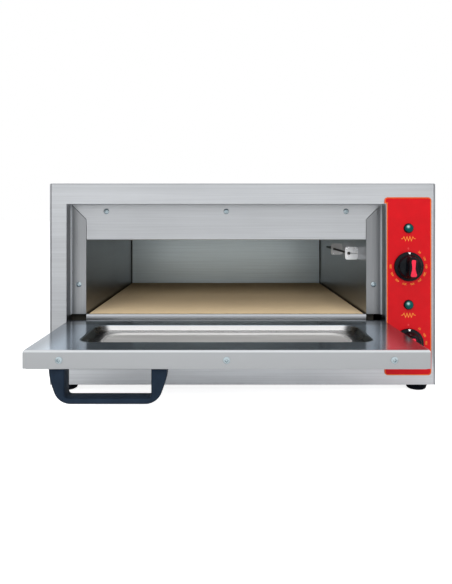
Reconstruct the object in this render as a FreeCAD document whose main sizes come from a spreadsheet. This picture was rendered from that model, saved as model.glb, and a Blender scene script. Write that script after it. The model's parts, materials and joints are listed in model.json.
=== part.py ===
"""Electric pizza oven: one deck, drop-down front door, two thermostat knobs.

The oven stands on its feet at Z = 0 with the front facing -Y. The door is modelled open, lying level.
All lengths are millimetres and come from the two sheets, "sizes" (driving) and "places" (worked out).
"""
import FreeCAD, Part
import Sketcher
import os
import re

SIZES = {
    # Casing sheets
    "case_width": 555,
    "case_height": 290,
    "case_depth": 448,
    "sheet_gauge": 1.2,
    "seam_gap": 0.5,
    "panel_flange": 12,
    "cover_bend": 2.5,
    "base_upstand": 18,
    "cut_overrun": 5,
    # Feet
    "foot_height": 13,
    "foot_radius": 16,
    "foot_base_radius": 11.5,
    "foot_collar": 6,
    "foot_side_inset": 18,
    "foot_end_inset": 29,
    "foot_sink_depth": 6,
    "foot_sink_radius": 5.5,
    # Pan head screws
    "screw_radius": 2,
    "screw_length": 9,
    "screw_head_radius": 3.75,
    "screw_head_height": 2.2,
    "screw_head_round": 1.4,
    "screw_fit": 0.15,
    "cover_screw_rise": 10,
    "cover_screw_end": 70,
    # Front opening and the recess behind it
    "opening_margin": 24,
    "opening_rise": 69.5,
    "opening_head": 30,
    "recess_depth": 26,
    "lip_width": 22,
    "top_lip_width": 52.5,
    "top_lip_hem": 10,
    "top_lip_screw_drop": 10,
    "top_lip_screw_inset": 52,
    "side_lip_screw_rise": 44,
    "sill_height": 8,
    "sill_round": 2.4,
    # Baking chamber
    "stone_rise": 28,
    "chamber_rear_space": 22,
    "chamber_gauge": 0.8,
    "chamber_flange": 14,
    "ceiling_rise": 22,
    "rear_wall_gap": 2,
    "stone_thickness": 15,
    "stone_side_gap": 2,
    "stone_front_gap": 2,
    "stone_rear_gap": 6,
    "stone_edge": 1.5,
    "floor_drop": 20,
    "rail_width": 16,
    "rail_rise": 10,
    "support_width": 30,
    "support_inset": 10,
    # Heating elements and sensors
    "element_radius": 3.5,
    "element_end_gap": 50,
    "element_side_gap": 30,
    "element_offset": 10,
    "element_tail": 26,
    "element_fit": 0.3,
    "stand_reach": 9,
    "stand_inset": 55,
    "bush_flange_radius": 9,
    "bush_flange": 3,
    "bush_radius": 6.5,
    "sensor_radius": 1.75,
    "sensor_length": 190,
    "sensor_start": 50,
    "sensor_wall_gap": 14,
    "sensor_drop": 23,
    "sensor_fit": 0.25,
    "capillary_radius": 0.8,
    "capillary_bend": 6,
    "clip_size": 20,
    "clip_gauge": 1,
    "clip_foot": 9,
    "clip_first": 52,
    "clip_spacing": 115,
    "low_sensor_height": 8,
    "low_sensor_length": 120,
    "low_sensor_inset": 24,
    "low_sensor_end_gap": 22,
    "low_clip_spacing": 70,
    # Insulation
    "insulation_front_gap": 14,
    "insulation_top_thickness": 40,
    "insulation_left_thickness": 28,
    "insulation_right_thickness": 14,
    "insulation_rear_thickness": 14,
    "insulation_floor_thickness": 32,
    # Door
    "door_thickness": 22,
    "door_side_gap": 1,
    "door_head_clearance": 0.6,
    "door_rest_gap": 0.5,
    "door_proud": 0.5,
    "door_bend": 3,
    "door_hem": 3,
    "door_skin_fit": 0.2,
    "tray_bend": 2.5,
    "pan_side_margin": 52,
    "pan_free_margin": 41,
    "pan_hinge_margin": 38,
    "pan_depth": 9,
    "pan_corner": 16,
    "pan_edge_round": 2.5,
    "pan_cove": 12,
    "door_screw_inset": 41,
    # Hinge
    "hinge_inset": 5,
    "hinge_rise": 4.7,
    "pin_radius": 1.75,
    "pin_engagement": 14,
    "pin_tail": 5,
    "pin_fit": 0.05,
    "hinge_bush_radius": 2.5,
    "hinge_bush_clearance": 0.3,
    "hinge_bush_flange": 2,
    "hinge_block_width": 12,
    "hinge_block_length": 16,
    "hinge_block_height": 9,
    # Bow handle
    "handle_length": 137,
    "handle_gap": 100,
    "handle_taper": 9,
    "handle_bulge": 2.5,
    "handle_projection": 44.5,
    "handle_bar": 7,
    "handle_depth": 23,
    "handle_corner": 11,
    "handle_gap_corner": 4,
    "handle_round": 2,
    "handle_side_margin": 92,
    "handle_edge_margin": 17,
    # Control column
    "plate_margin": 0.7,
    "plate_overhang": 2.5,
    "plate_edge_margin": 6,
    "plate_notch_gap": 1,
    "plate_rise": 14,
    "plate_head": 20,
    "plate_thickness": 0.8,
    "plate_corner": 5,
    "control_column": 71,
    "control_inset": 39,
    "lower_knob_rise": 60.5,
    "upper_knob_drop": 119.5,
    # Knobs and thermostats
    "skirt_radius": 21,
    "skirt_height": 4.5,
    "skirt_edge": 1.2,
    "drum_radius": 15.5,
    "drum_height": 12,
    "grip_height": 22.6,
    "grip_half_length": 15.5,
    "grip_top_half_width": 6.4,
    "grip_bottom_half_width": 8.4,
    "grip_waist": 1.6,
    "grip_edge": 1.3,
    "insert_half_length": 10.6,
    "insert_top_half_width": 3.4,
    "insert_bottom_half_width": 5.2,
    "insert_waist": 1.4,
    "insert_sink": 1,
    "insert_proud": 0.4,
    "insert_fit": 0.1,
    "knob_gap": 0.6,
    "shaft_radius": 3,
    "shaft_fit": 0.05,
    "shaft_engagement": 15,
    "shaft_tail": 10,
    "thermostat_width": 36,
    "thermostat_height": 42,
    "thermostat_depth": 30,
    "thermostat_round": 3,
    "neck_radius": 5,
    "neck_fit": 0.2,
    # Pilot lamps
    "bezel_radius": 7,
    "bezel_height": 2.4,
    "bezel_edge": 1,
    "bezel_wall": 1,
    "bezel_barrel": 14,
    "lens_radius": 4.8,
    "lens_height": 4.4,
    "lens_fit": 0.2,
    # Rear side
    "gland_reach": 12,
    "gland_bore_radius": 4.5,
    "gland_barrel_radius": 8,
    "gland_flange_radius": 13,
    "gland_flange": 4,
    "gland_cap_radius": 10.5,
    "gland_cap_edge": 2.5,
    "gland_nut": 5,
    "gland_side_inset": 60,
    "gland_rise": 45,
    "vent_width": 5,
    "vent_length": 34,
    "vent_pitch": 12,
    "vent_drop": 60,
    "base_vent_inset": 60,
    "rear_screw_inset": 7,
    "terminal_width": 44,
    "terminal_depth": 20,
    "terminal_height": 18,
    "terminal_rear_gap": 60,
    "terminal_wall": 2,
    "terminal_slot_depth": 7,
}

VENT_COUNT = 9
TERMINAL_COUNT = 3
RUN_COUNT = 6
PAN_SLOPE_DEGREES = 45

PLACES = {
    "case_half": "case_width / 2",
    "case_bottom": "foot_height",
    "case_top": "foot_height + case_height",
    "inside_half": "case_half - sheet_gauge",
    "panel_half": "inside_half - seam_gap",
    "panel_top": "case_top - sheet_gauge - seam_gap",
    "opening_left": "opening_margin - case_half",
    "opening_right": "case_half - control_column",
    "opening_bottom": "case_bottom + opening_rise",
    "opening_top": "case_top - opening_head",
    "opening_width": "opening_right - opening_left",
    "opening_height": "opening_top - opening_bottom",
    "opening_middle": "(opening_left + opening_right) / 2",
    "mouth_left": "opening_left + lip_width",
    "mouth_right": "opening_right - lip_width",
    "mouth_top": "opening_top - top_lip_width",
    "stone_top": "opening_bottom + stone_rise",
    "stone_bottom": "stone_top - stone_thickness",
    "ceiling_z": "mouth_top + ceiling_rise",
    "floor_z": "stone_bottom - floor_drop",
    "floor_under": "floor_z - chamber_gauge",
    "base_top": "case_bottom + sheet_gauge",
    "door_top_gap": "screw_head_height + door_head_clearance",
    "door_width": "opening_width - 2 * door_side_gap",
    "door_height": "opening_height - door_rest_gap - hinge_inset + hinge_rise - door_top_gap",
    "hinge_depth": "hinge_inset - door_proud",
    "door_reach": "door_height - hinge_depth - hinge_rise + screw_head_height",
    "front_y": "(door_reach - case_depth - gland_reach) / 2",
    "rear_y": "front_y + case_depth",
    "lip_y": "front_y + recess_depth",
    "chamber_front": "lip_y + sheet_gauge",
    "chamber_rear": "rear_y - chamber_rear_space",
    "wall_rear": "chamber_rear + chamber_gauge",
    "hinge_y": "front_y + hinge_depth",
    "door_under": "opening_bottom + door_rest_gap",
    "hinge_z": "door_under + hinge_inset",
    "door_rear_y": "hinge_y + hinge_rise",
    "door_left": "opening_left + door_side_gap",
    "door_right": "opening_right - door_side_gap",
    "skin_wrap": "sheet_gauge + door_skin_fit",
    "hinge_bush_flange_radius": "hinge_depth - sheet_gauge - hinge_bush_clearance",
    "door_screw_reach": "door_width / 2 - door_screw_inset",
    "top_lip_screw_reach": "opening_width / 2 - top_lip_screw_inset",
    "pan_half": "door_width / 2 - pan_side_margin",
    "tray_half": "door_width / 2 - skin_wrap",
    "screw_hole": "screw_radius + screw_fit",
    "handle_x": "door_left + handle_side_margin",
    "handle_y": "door_rear_y - door_height + handle_edge_margin",
    "handle_leg": "(handle_length - handle_gap) / 2",
    "control_x": "case_half - control_inset",
    "plate_left": "opening_right - plate_overhang",
    "plate_right": "case_half - plate_edge_margin",
    "plate_bottom": "case_bottom + plate_rise",
    "plate_top": "case_top - plate_head",
    "lower_knob_z": "case_bottom + lower_knob_rise",
    "upper_knob_z": "case_top - upper_knob_drop",
    "lamp_rise": "(upper_knob_z - lower_knob_z) / 2",
    "knob_back": "plate_thickness + knob_gap",
    "grip_top": "knob_back + grip_height",
    "bezel_bore": "lens_radius + lens_fit",
    "barrel_radius": "bezel_bore + bezel_wall",
    "barrel_hole": "barrel_radius + lens_fit",
    "neck_hole": "neck_radius + neck_fit",
    "upper_element_z": "ceiling_z - element_offset",
    "lower_element_z": "floor_z + element_offset",
    "element_bend": f"(chamber_rear - chamber_front - 2 * element_end_gap) / {2 * (RUN_COUNT - 1)}",
    "element_left": "mouth_left + element_side_gap + element_bend",
    "element_right": "mouth_right - element_side_gap - element_bend",
    "element_first_y": "chamber_front + element_end_gap",
    "wall_outside": "mouth_right + chamber_gauge",
    "element_end": "wall_outside + insulation_right_thickness + element_tail",
    "sensor_x": "mouth_right - sensor_wall_gap",
    "sensor_y": "lip_y + sensor_start",
    "sensor_z": "mouth_top - sensor_drop",
    "low_sensor_x": "mouth_right - low_sensor_end_gap - low_sensor_length",
    "low_sensor_y": "chamber_rear - low_sensor_inset",
    "low_sensor_z": "floor_z + low_sensor_height",
    "gland_x": "case_half - gland_side_inset",
    "gland_z": "case_bottom + gland_rise",
    "rear_screw_x": "inside_half - rear_screw_inset",
    "rear_screw_top": "case_top - sheet_gauge - rear_screw_inset",
    "rear_screw_bottom": "case_bottom + rear_screw_inset",
}

doc = FreeCAD.newDocument("pizza_oven")
subparts = {}

FRONT = FreeCAD.Rotation(FreeCAD.Vector(1, 0, 0), 90)
REAR = FreeCAD.Rotation(FreeCAD.Vector(1, 0, 0), -90)
LEFT = FreeCAD.Rotation(FreeCAD.Vector(0, 1, 0), -90)
RIGHT = FreeCAD.Rotation(FreeCAD.Vector(0, 1, 0), 90)
DOWN = FreeCAD.Rotation(FreeCAD.Vector(1, 0, 0), 180)
UP = FreeCAD.Rotation()
BEND_LEFT = FreeCAD.Rotation(FreeCAD.Vector(0, 0, 1), 90)
BEND_RIGHT = FreeCAD.Rotation(FreeCAD.Vector(0, 0, 1), -90)


def fill_sheet(name, cells):
    """Write one named cell per entry and return the sheet."""
    sheet = doc.addObject("Spreadsheet::Sheet", name)
    for row, (alias, content) in enumerate(cells.items(), start=1):
        sheet.set(f"A{row}", alias)
        sheet.set(f"B{row}", content)
        sheet.setAlias(f"B{row}", alias)
    doc.recompute()
    return sheet


def linked(text, own=False):
    """Return a formula with each named size written as a reference to its sheet."""
    def reference(word):
        name = word.group()
        if name in SIZES:
            return f"sizes.{name}"
        return f"places.{name}" if name in PLACES and not own else name

    return re.sub(r"[a-z_]+", reference, text)


def number(text):
    """Return the present value of a formula."""
    return float(sizes.evalExpression(linked(text)))


sizes = fill_sheet("sizes", {alias: str(size) for alias, size in SIZES.items()})
places = fill_sheet("places", {alias: "=" + linked(text, own=True) for alias, text in PLACES.items()})


def bind(item, **formulas):
    """Tie properties of an object to formulas."""
    for name, text in formulas.items():
        item.setExpression(name, linked(text))


def place(item, x="0", y="0", z="0", turn=UP):
    """Turn an object and tie its position to formulas."""
    item.Placement = FreeCAD.Placement(FreeCAD.Vector(), turn)
    for axis, text in zip("xyz", (x, y, z)):
        item.setExpression(f"Placement.Base.{axis}", linked(text))


def keep(label, item):
    """Register a finished sub-part under its own label."""
    item.Label = label
    subparts[label] = item
    return item


def new_body(label, x="0", y="0", z="0", turn=UP, kept=True):
    """Start a body at a place of its own."""
    body = doc.addObject("PartDesign::Body", label)
    body.AllowCompound = True
    place(body, x, y, z, turn)
    if kept:
        keep(label, body)
    return body


def new_sketch(body, plane="XY_Plane", level="0"):
    """Start a sketch on one of the body's own planes, lifted to a level."""
    sketch = body.newObject("Sketcher::SketchObject", body.Name + "_sketch")
    support = next(feature for feature in body.Origin.OriginFeatures if feature.Role == plane)
    sketch.AttachmentSupport = [(support, "")]
    sketch.MapMode = "FlatFace"
    sketch.setExpression("AttachmentOffset.Base.z", linked(level))
    return sketch


def tie(sketch, kind, text, *where):
    """Add one dimension to a sketch and tie it to a formula."""
    index = sketch.addConstraint(Sketcher.Constraint(kind, *where, number(text)))
    sketch.renameConstraint(index, f"size_{index}")
    sketch.setExpression(f"Constraints.size_{index}", linked(text))


def pin_point(sketch, geometry, point, x, y):
    """Hold a point of the sketch at a place measured from its origin."""
    tie(sketch, "DistanceX", x, -1, 1, geometry, point)
    tie(sketch, "DistanceY", y, -1, 1, geometry, point)


def side_of(start, end, rise):
    """Return a straight side, or an arc that swells by rise to the right of its run."""
    if not rise:
        return Part.LineSegment(start, end)
    run = end - start
    across = FreeCAD.Vector(run.y, -run.x, 0).normalize()
    return Part.Arc(start, (start + end) / 2 + across * rise, end)


def draw_outline(sketch, corners, swells=None):
    """Draw a closed outline through corners.

    swells maps a side's number to the rise of its arc over the chord; other sides are straight.
    """
    swells = swells or {}
    first = sketch.GeometryCount
    count = len(corners)
    spots = [FreeCAD.Vector(number(x), number(y), 0) for x, y in corners]
    ends = []
    for side, start in enumerate(spots):
        rise = number(swells[side]) if side in swells else 0
        index = sketch.addGeometry(side_of(start, spots[(side + 1) % count], rise))
        to_first, to_second = (sketch.getPoint(index, end).distanceToPoint(start) for end in (1, 2))
        ends.append((1, 2) if to_first < to_second else (2, 1))
    for side in range(count):
        following = (side + 1) % count
        joint = (first + side, ends[side][1], first + following, ends[following][0])
        sketch.addConstraint(Sketcher.Constraint("Coincident", *joint))
    for side, (x, y) in enumerate(corners):
        pin_point(sketch, first + side, ends[side][0], x, y)
    for side, rise in swells.items():
        x_start, y_start = corners[side]
        x_end, y_end = corners[(side + 1) % count]
        chord_squared = f"((({x_end}) - ({x_start}))^2 + (({y_end}) - ({y_start}))^2)"
        tie(sketch, "Radius", f"abs(({chord_squared} / 4 + ({rise})^2) / (2 * ({rise})))", first + side)


def draw_rectangle(sketch, left, right, bottom, top):
    """Draw an upright rectangle."""
    draw_outline(sketch, [(left, bottom), (right, bottom), (right, top), (left, top)])


def draw_rounded_rectangle(sketch, left, right, bottom, top, radius):
    """Draw an upright rectangle with quarter-round corners."""
    inner_left, inner_right = f"{left} + {radius}", f"{right} - ({radius})"
    inner_bottom, inner_top = f"{bottom} + {radius}", f"{top} - ({radius})"
    corners = [(inner_left, bottom), (inner_right, bottom), (right, inner_bottom), (right, inner_top),
               (inner_right, top), (inner_left, top), (left, inner_top), (left, inner_bottom)]
    rise = f"({radius}) * (1 - sqrt(0.5))"
    draw_outline(sketch, corners, swells={side: rise for side in (1, 3, 5, 7)})


def draw_circle(sketch, x, y, radius):
    """Draw a circle."""
    curve = Part.Circle(FreeCAD.Vector(number(x), number(y), 0), FreeCAD.Vector(0, 0, 1), number(radius))
    index = sketch.addGeometry(curve)
    pin_point(sketch, index, 3, x, y)
    tie(sketch, "Radius", radius, index)


def pad(body, sketch, length, back=False, slope=0):
    """Pad a sketch along its normal, or back against it, with sloped sides if asked."""
    feature = body.newObject("PartDesign::Pad", body.Name + "_pad")
    feature.Profile = sketch
    feature.Reversed = back
    feature.TaperAngle = slope
    bind(feature, Length=length)
    doc.recompute()
    return feature


def pocket(body, sketch, depth, slope=0, along=False):
    """Cut a sketch into the body, against the sketch's normal or along it, and make sure that it cuts."""
    before = body.Shape.Volume
    feature = body.newObject("PartDesign::Pocket", body.Name + "_pocket")
    feature.Profile = sketch
    feature.Reversed = along
    feature.TaperAngle = slope
    bind(feature, Length=depth)
    doc.recompute()
    if not body.Shape.Volume < before:
        raise RuntimeError(f"{feature.Name} cuts nothing")
    return feature


def revolve(body, profile):
    """Turn a profile of (radius, height) corners about the body's upright axis."""
    sketch = new_sketch(body, "XZ_Plane")
    draw_outline(sketch, profile)
    feature = body.newObject("PartDesign::Revolution", body.Name + "_turn")
    feature.Profile = sketch
    feature.ReferenceAxis = (sketch, ["V_Axis"])
    feature.Angle = 360
    doc.recompute()
    return feature


def near(value, text):
    """Say whether a coordinate lies on the plane that a formula gives."""
    return abs(value - number(text)) < number("sheet_gauge") / 100


def soften(body, radius, chosen, kind="Fillet"):
    """Round, or chamfer, the edges of the body's last feature whose middle passes the test chosen."""
    base = body.Tip
    names = [f"Edge{index}" for index, edge in enumerate(base.Shape.Edges, start=1)
             if chosen(edge.CenterOfMass)]
    feature = body.newObject(f"PartDesign::{kind}", f"{body.Name}_{kind.lower()}")
    feature.Base = (base, names)
    bind(feature, **{"Radius" if kind == "Fillet" else "Size": radius})
    doc.recompute()
    return feature


def shell(body, wall, open_level):
    """Hollow the body to a wall, open at the flat face on one level."""
    base = body.Tip
    faces = [f"Face{index}" for index, face in enumerate(base.Shape.Faces, start=1)
             if near(face.CenterOfMass.z, open_level)]
    feature = body.newObject("PartDesign::Thickness", body.Name + "_shell")
    feature.Base = (base, faces)
    feature.Reversed = True
    bind(feature, Value=wall)
    doc.recompute()
    return feature


def repeat(body, feature, sketch, axis, pitch, count):
    """Repeat a feature along an axis of its sketch."""
    pattern = body.newObject("PartDesign::LinearPattern", body.Name + "_row")
    pattern.Originals = [feature]
    pattern.Direction = (sketch, [axis])
    pattern.Occurrences = count
    bind(pattern, Length=f"({pitch}) * {count - 1}")
    body.Tip = pattern
    doc.recompute()
    return pattern


def box(name, width, depth, height, x, y, z):
    """Return a plain block with its lowest corner at a place."""
    block = doc.addObject("Part::Box", name)
    bind(block, Length=width, Width=depth, Height=height)
    place(block, x, y, z)
    return block


def rod(name, radius, length, x, y, z, turn=UP):
    """Return a plain rod that starts at a place and runs the way turn points."""
    bar = doc.addObject("Part::Cylinder", name)
    bind(bar, Radius=radius, Height=length)
    place(bar, x, y, z, turn)
    return bar


def bend(name, radius, wire, x, y, z, turn, sweep):
    """Return a bent piece of round wire."""
    ring = doc.addObject("Part::Torus", name)
    bind(ring, Radius1=radius, Radius2=wire)
    ring.Angle3 = sweep
    place(ring, x, y, z, turn)
    return ring


def fuse(name, pieces):
    """Return one solid from several."""
    whole = doc.addObject("Part::MultiFuse", name)
    whole.Shapes = pieces
    return whole


def gather(name, pieces):
    """Return several separate solids as one object."""
    whole = doc.addObject("Part::Compound", name)
    whole.Links = pieces
    return whole


def cut(name, base, tools):
    """Return a solid with tools cut away."""
    rest = doc.addObject("Part::Cut", name)
    rest.Base = base
    rest.Tool = gather(name + "_tools", tools)
    return rest


def copies(label, master, spots):
    """Keep a group of copies of a master piece, one at each (x, y, z, turn)."""
    links = []
    for index, (x, y, z, turn) in enumerate(spots):
        link = doc.addObject("App::Link", f"{label}_{index}")
        link.LinkedObject = master
        place(link, x, y, z, turn)
        links.append(link)
    return keep(label, gather(label, links))


REAR_SCREWS = [
    ("-rear_screw_x", "(rear_screw_bottom + rear_screw_top) / 2"),
    ("rear_screw_x", "(rear_screw_bottom + rear_screw_top) / 2"),
    ("-rear_screw_x / 2", "rear_screw_top"),
    ("rear_screw_x / 2", "rear_screw_top"),
    ("-rear_screw_x / 2", "rear_screw_bottom"),
    ("rear_screw_x / 2", "rear_screw_bottom"),
]
COVER_SCREW_DEPTHS = ["cover_screw_end", "case_depth / 2", "case_depth - cover_screw_end"]
LIP_SCREWS = {
    "top_lip": [
        ("opening_middle - top_lip_screw_reach", "opening_top - top_lip_screw_drop"),
        ("opening_middle", "opening_top - top_lip_screw_drop"),
        ("opening_middle + top_lip_screw_reach", "opening_top - top_lip_screw_drop"),
    ],
    "left_lip": [("(opening_left + mouth_left) / 2", "stone_top + side_lip_screw_rise")],
    "right_lip": [("(opening_right + mouth_right) / 2", "stone_top + side_lip_screw_rise")],
}
FEET = [(x, y) for x in ("foot_side_inset - case_half", "case_half - foot_side_inset")
        for y in ("foot_end_inset", "case_depth - foot_end_inset")]
KNOBS = {"top": "upper_knob_z", "bottom": "lower_knob_z"}
LAMPS = [f"{knob_z} + lamp_rise" for knob_z in KNOBS.values()]
DOOR_SCREWS = ["-door_screw_reach", "0", "door_screw_reach"]
HANDLE_LEGS = ["-(handle_gap + handle_leg) / 2", "(handle_gap + handle_leg) / 2"]


def make_screw():
    """Pan head screw standing on its seat, shank down."""
    body = new_body("screw", kept=False)
    revolve(body, [
        ("0", "-screw_length"), ("screw_radius", "-screw_length"), ("screw_radius", "0"),
        ("screw_head_radius", "0"), ("screw_head_radius", "screw_head_height"), ("0", "screw_head_height"),
    ])
    soften(body, "screw_head_round", lambda middle: near(middle.z, "screw_head_height"))
    return body


def side_holes(body, spots, radius, outer, depth):
    """Drill holes across the width, in from the plane at outer, at (along, up) spots of the side plane."""
    sketch = new_sketch(body, "YZ_Plane", f"({outer}) + cut_overrun")
    for along, up in spots:
        draw_circle(sketch, along, up, radius)
    pocket(body, sketch, f"({depth}) + 2 * cut_overrun")


def make_case_cover():
    """Wrap-round cover: top and two sides in one sheet, with a return flange at the rear."""
    body = new_body("case_cover", y="front_y", turn=FRONT)
    wrap = new_sketch(body)
    draw_outline(wrap, [
        ("-case_half", "case_top"), ("-case_half", "case_bottom"), ("-inside_half", "case_bottom"),
        ("-inside_half", "case_top - sheet_gauge"), ("inside_half", "case_top - sheet_gauge"),
        ("inside_half", "case_bottom"), ("case_half", "case_bottom"), ("case_half", "case_top"),
    ])
    pad(body, wrap, "case_depth", back=True)
    soften(body, "cover_bend", lambda middle: near(middle.y, "case_top")
           and near(abs(middle.x), "case_half"))
    flange = new_sketch(body, level="2 * sheet_gauge - case_depth")
    flange_foot = "case_bottom + base_upstand + seam_gap"
    flange_head = "case_top - sheet_gauge - panel_flange"
    flange_half = "inside_half - panel_flange"
    draw_outline(flange, [
        ("-inside_half", "case_top - sheet_gauge"), ("-inside_half", flange_foot),
        (f"-({flange_half})", flange_foot), (f"-({flange_half})", flange_head),
        (flange_half, flange_head), (flange_half, flange_foot),
        ("inside_half", flange_foot), ("inside_half", "case_top - sheet_gauge"),
    ])
    pad(body, flange, "sheet_gauge", back=True)
    rear_holes = new_sketch(body, level="2 * sheet_gauge + cut_overrun - case_depth")
    for x, z in REAR_SCREWS[:-2]:
        draw_circle(rear_holes, x, z, "screw_hole")
    pocket(body, rear_holes, "sheet_gauge + 2 * cut_overrun")
    spots = [("case_bottom + cover_screw_rise", f"-({depth})") for depth in COVER_SCREW_DEPTHS]
    side_holes(body, spots, "screw_hole", "case_half", "case_width")


def make_front_panel():
    """Front fascia: one sheet, folded back round its edge and into the recess of the opening."""
    body = new_body("front_panel", y="front_y", turn=FRONT)
    plate = new_sketch(body)
    draw_rectangle(plate, "-panel_half", "panel_half", "case_bottom", "panel_top")
    draw_rectangle(plate, "opening_left", "opening_right", "opening_bottom", "opening_top")
    for knob_z in KNOBS.values():
        draw_circle(plate, "control_x", knob_z, "neck_hole")
    for lamp_z in LAMPS:
        draw_circle(plate, "control_x", lamp_z, "barrel_hole")
    pad(body, plate, "sheet_gauge", back=True)
    edge = new_sketch(body, level="-sheet_gauge")
    edge_foot = "case_bottom + base_upstand + seam_gap"
    edge_half = "panel_half - sheet_gauge"
    draw_outline(edge, [
        ("-panel_half", "panel_top"), ("-panel_half", edge_foot), (f"-({edge_half})", edge_foot),
        (f"-({edge_half})", "panel_top - sheet_gauge"), (edge_half, "panel_top - sheet_gauge"),
        (edge_half, edge_foot), ("panel_half", edge_foot), ("panel_half", "panel_top"),
    ])
    pad(body, edge, "panel_flange", back=True)
    recess = new_sketch(body, level="-sheet_gauge")
    draw_rectangle(recess, "opening_left", "opening_right", "opening_bottom", "opening_top")
    draw_rectangle(recess, "opening_left - sheet_gauge", "opening_right + sheet_gauge",
                   "opening_bottom - sheet_gauge", "opening_top + sheet_gauge")
    pad(body, recess, "recess_depth - sheet_gauge", back=True)
    side_holes(body, [("hinge_z", "-hinge_depth")], "hinge_bush_radius + pin_fit",
               "opening_right + sheet_gauge", "opening_width + 2 * sheet_gauge")


def make_rear_panel():
    """Rear sheet with a row of vent slots, the gland hole and its screw holes."""
    body = new_body("rear_panel", y="front_y", turn=FRONT)
    inner = "sheet_gauge - case_depth"
    plate = new_sketch(body, level=inner)
    draw_rectangle(plate, "-panel_half", "panel_half", "case_bottom", "panel_top")
    draw_circle(plate, "gland_x", "gland_z", "gland_barrel_radius + screw_fit")
    for x, z in REAR_SCREWS:
        draw_circle(plate, x, z, "screw_hole")
    pad(body, plate, "sheet_gauge", back=True)
    slot = new_sketch(body, level=f"{inner} + cut_overrun")
    first = f"control_x - vent_pitch * {VENT_COUNT - 1} - vent_width / 2"
    draw_rectangle(slot, first, f"{first} + vent_width", "case_top - vent_drop - vent_length",
                   "case_top - vent_drop")
    vent = pocket(body, slot, "sheet_gauge + 2 * cut_overrun")
    repeat(body, vent, slot, "H_Axis", "vent_pitch", VENT_COUNT)


def make_base_pan():
    """Base tray with an upstand all round, vent slots and the holes for the foot screws."""
    body = new_body("base_pan", y="front_y", z="case_bottom")
    floor = new_sketch(body)
    edges = ("-inside_half", "inside_half", "sheet_gauge", "case_depth - sheet_gauge")
    draw_rectangle(floor, *edges)
    for x, y in FEET:
        draw_circle(floor, x, y, "screw_hole")
    pad(body, floor, "sheet_gauge")
    wall = new_sketch(body)
    draw_rectangle(wall, *edges)
    draw_rectangle(wall, "sheet_gauge - inside_half", "inside_half - sheet_gauge",
                   "2 * sheet_gauge", "case_depth - 2 * sheet_gauge")
    pad(body, wall, "base_upstand")
    slot = new_sketch(body, level="sheet_gauge + cut_overrun")
    first = f"control_x - vent_pitch * {VENT_COUNT - 1} - vent_width / 2"
    draw_rectangle(slot, first, f"{first} + vent_width", "base_vent_inset", "base_vent_inset + vent_length")
    vent = pocket(body, slot, "sheet_gauge + 2 * cut_overrun")
    repeat(body, vent, slot, "H_Axis", "vent_pitch", VENT_COUNT)
    side_holes(body, [(depth, "cover_screw_rise") for depth in COVER_SCREW_DEPTHS], "screw_hole",
               "inside_half", "2 * inside_half")
    rear_holes = new_sketch(body, "XZ_Plane", "2 * sheet_gauge + cut_overrun - case_depth")
    for x, z in REAR_SCREWS[-2:]:
        draw_circle(rear_holes, x, f"{z} - case_bottom", "screw_hole")
    pocket(body, rear_holes, "sheet_gauge + 2 * cut_overrun")


def make_feet(screw):
    """Round rubber feet, each held by a screw sunk into its underside."""
    master = new_body("foot", kept=False)
    revolve(master, [
        ("screw_hole", "foot_sink_depth"), ("foot_sink_radius", "foot_sink_depth"),
        ("foot_sink_radius", "0"), ("foot_base_radius", "0"), ("foot_radius", "foot_height - foot_collar"),
        ("foot_radius", "foot_height"), ("screw_hole", "foot_height"),
    ])
    spots = [(x, f"front_y + {y}") for x, y in FEET]
    copies("feet", master, [(x, y, "0", UP) for x, y in spots])
    copies("foot_screws", screw, [(x, y, "foot_sink_depth", DOWN) for x, y in spots])


def make_case_screws(screw):
    """Screws that hold the cover to the base pan and the rear panel to both."""
    heights = [(f"front_y + {depth}", "case_bottom + cover_screw_rise") for depth in COVER_SCREW_DEPTHS]
    copies("cover_screws", screw, [("-case_half", y, z, LEFT) for y, z in heights]
           + [("case_half", y, z, RIGHT) for y, z in heights])
    copies("rear_screws", screw, [(x, "rear_y", z, REAR) for x, z in REAR_SCREWS])


def make_cable_gland():
    """Cable gland clamped through the rear panel, with an open bore for the lead."""
    body = new_body("cable_gland", "gland_x", "rear_y", "gland_z", REAR)
    nut = "-sheet_gauge - gland_nut"
    revolve(body, [
        ("gland_bore_radius", nut), ("gland_flange_radius", nut), ("gland_flange_radius", "-sheet_gauge"),
        ("gland_barrel_radius", "-sheet_gauge"), ("gland_barrel_radius", "0"), ("gland_flange_radius", "0"),
        ("gland_flange_radius", "gland_flange"), ("gland_cap_radius", "gland_flange"),
        ("gland_cap_radius", "gland_reach - gland_cap_edge"),
        ("gland_cap_radius - gland_cap_edge", "gland_reach"), ("gland_bore_radius", "gland_reach"),
    ])


def make_terminal_block():
    """Terminal block on the base pan, with one open slot per lead."""
    body = new_body("terminal_block", "control_x", "rear_y - terminal_rear_gap", "base_top")
    block = new_sketch(body)
    draw_rectangle(block, "-terminal_width / 2", "terminal_width / 2", "-terminal_depth", "0")
    pad(body, block, "terminal_height")
    slot_width = f"(terminal_width - terminal_wall * {TERMINAL_COUNT + 1}) / {TERMINAL_COUNT}"
    slot = new_sketch(body, level="terminal_height")
    slot_left = "terminal_wall - terminal_width / 2"
    draw_rectangle(slot, slot_left, f"{slot_left} + {slot_width}",
                   "terminal_wall - terminal_depth", "-terminal_wall")
    notch = pocket(body, slot, "terminal_slot_depth")
    repeat(body, notch, slot, "H_Axis", f"terminal_wall + {slot_width}", TERMINAL_COUNT)


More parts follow.
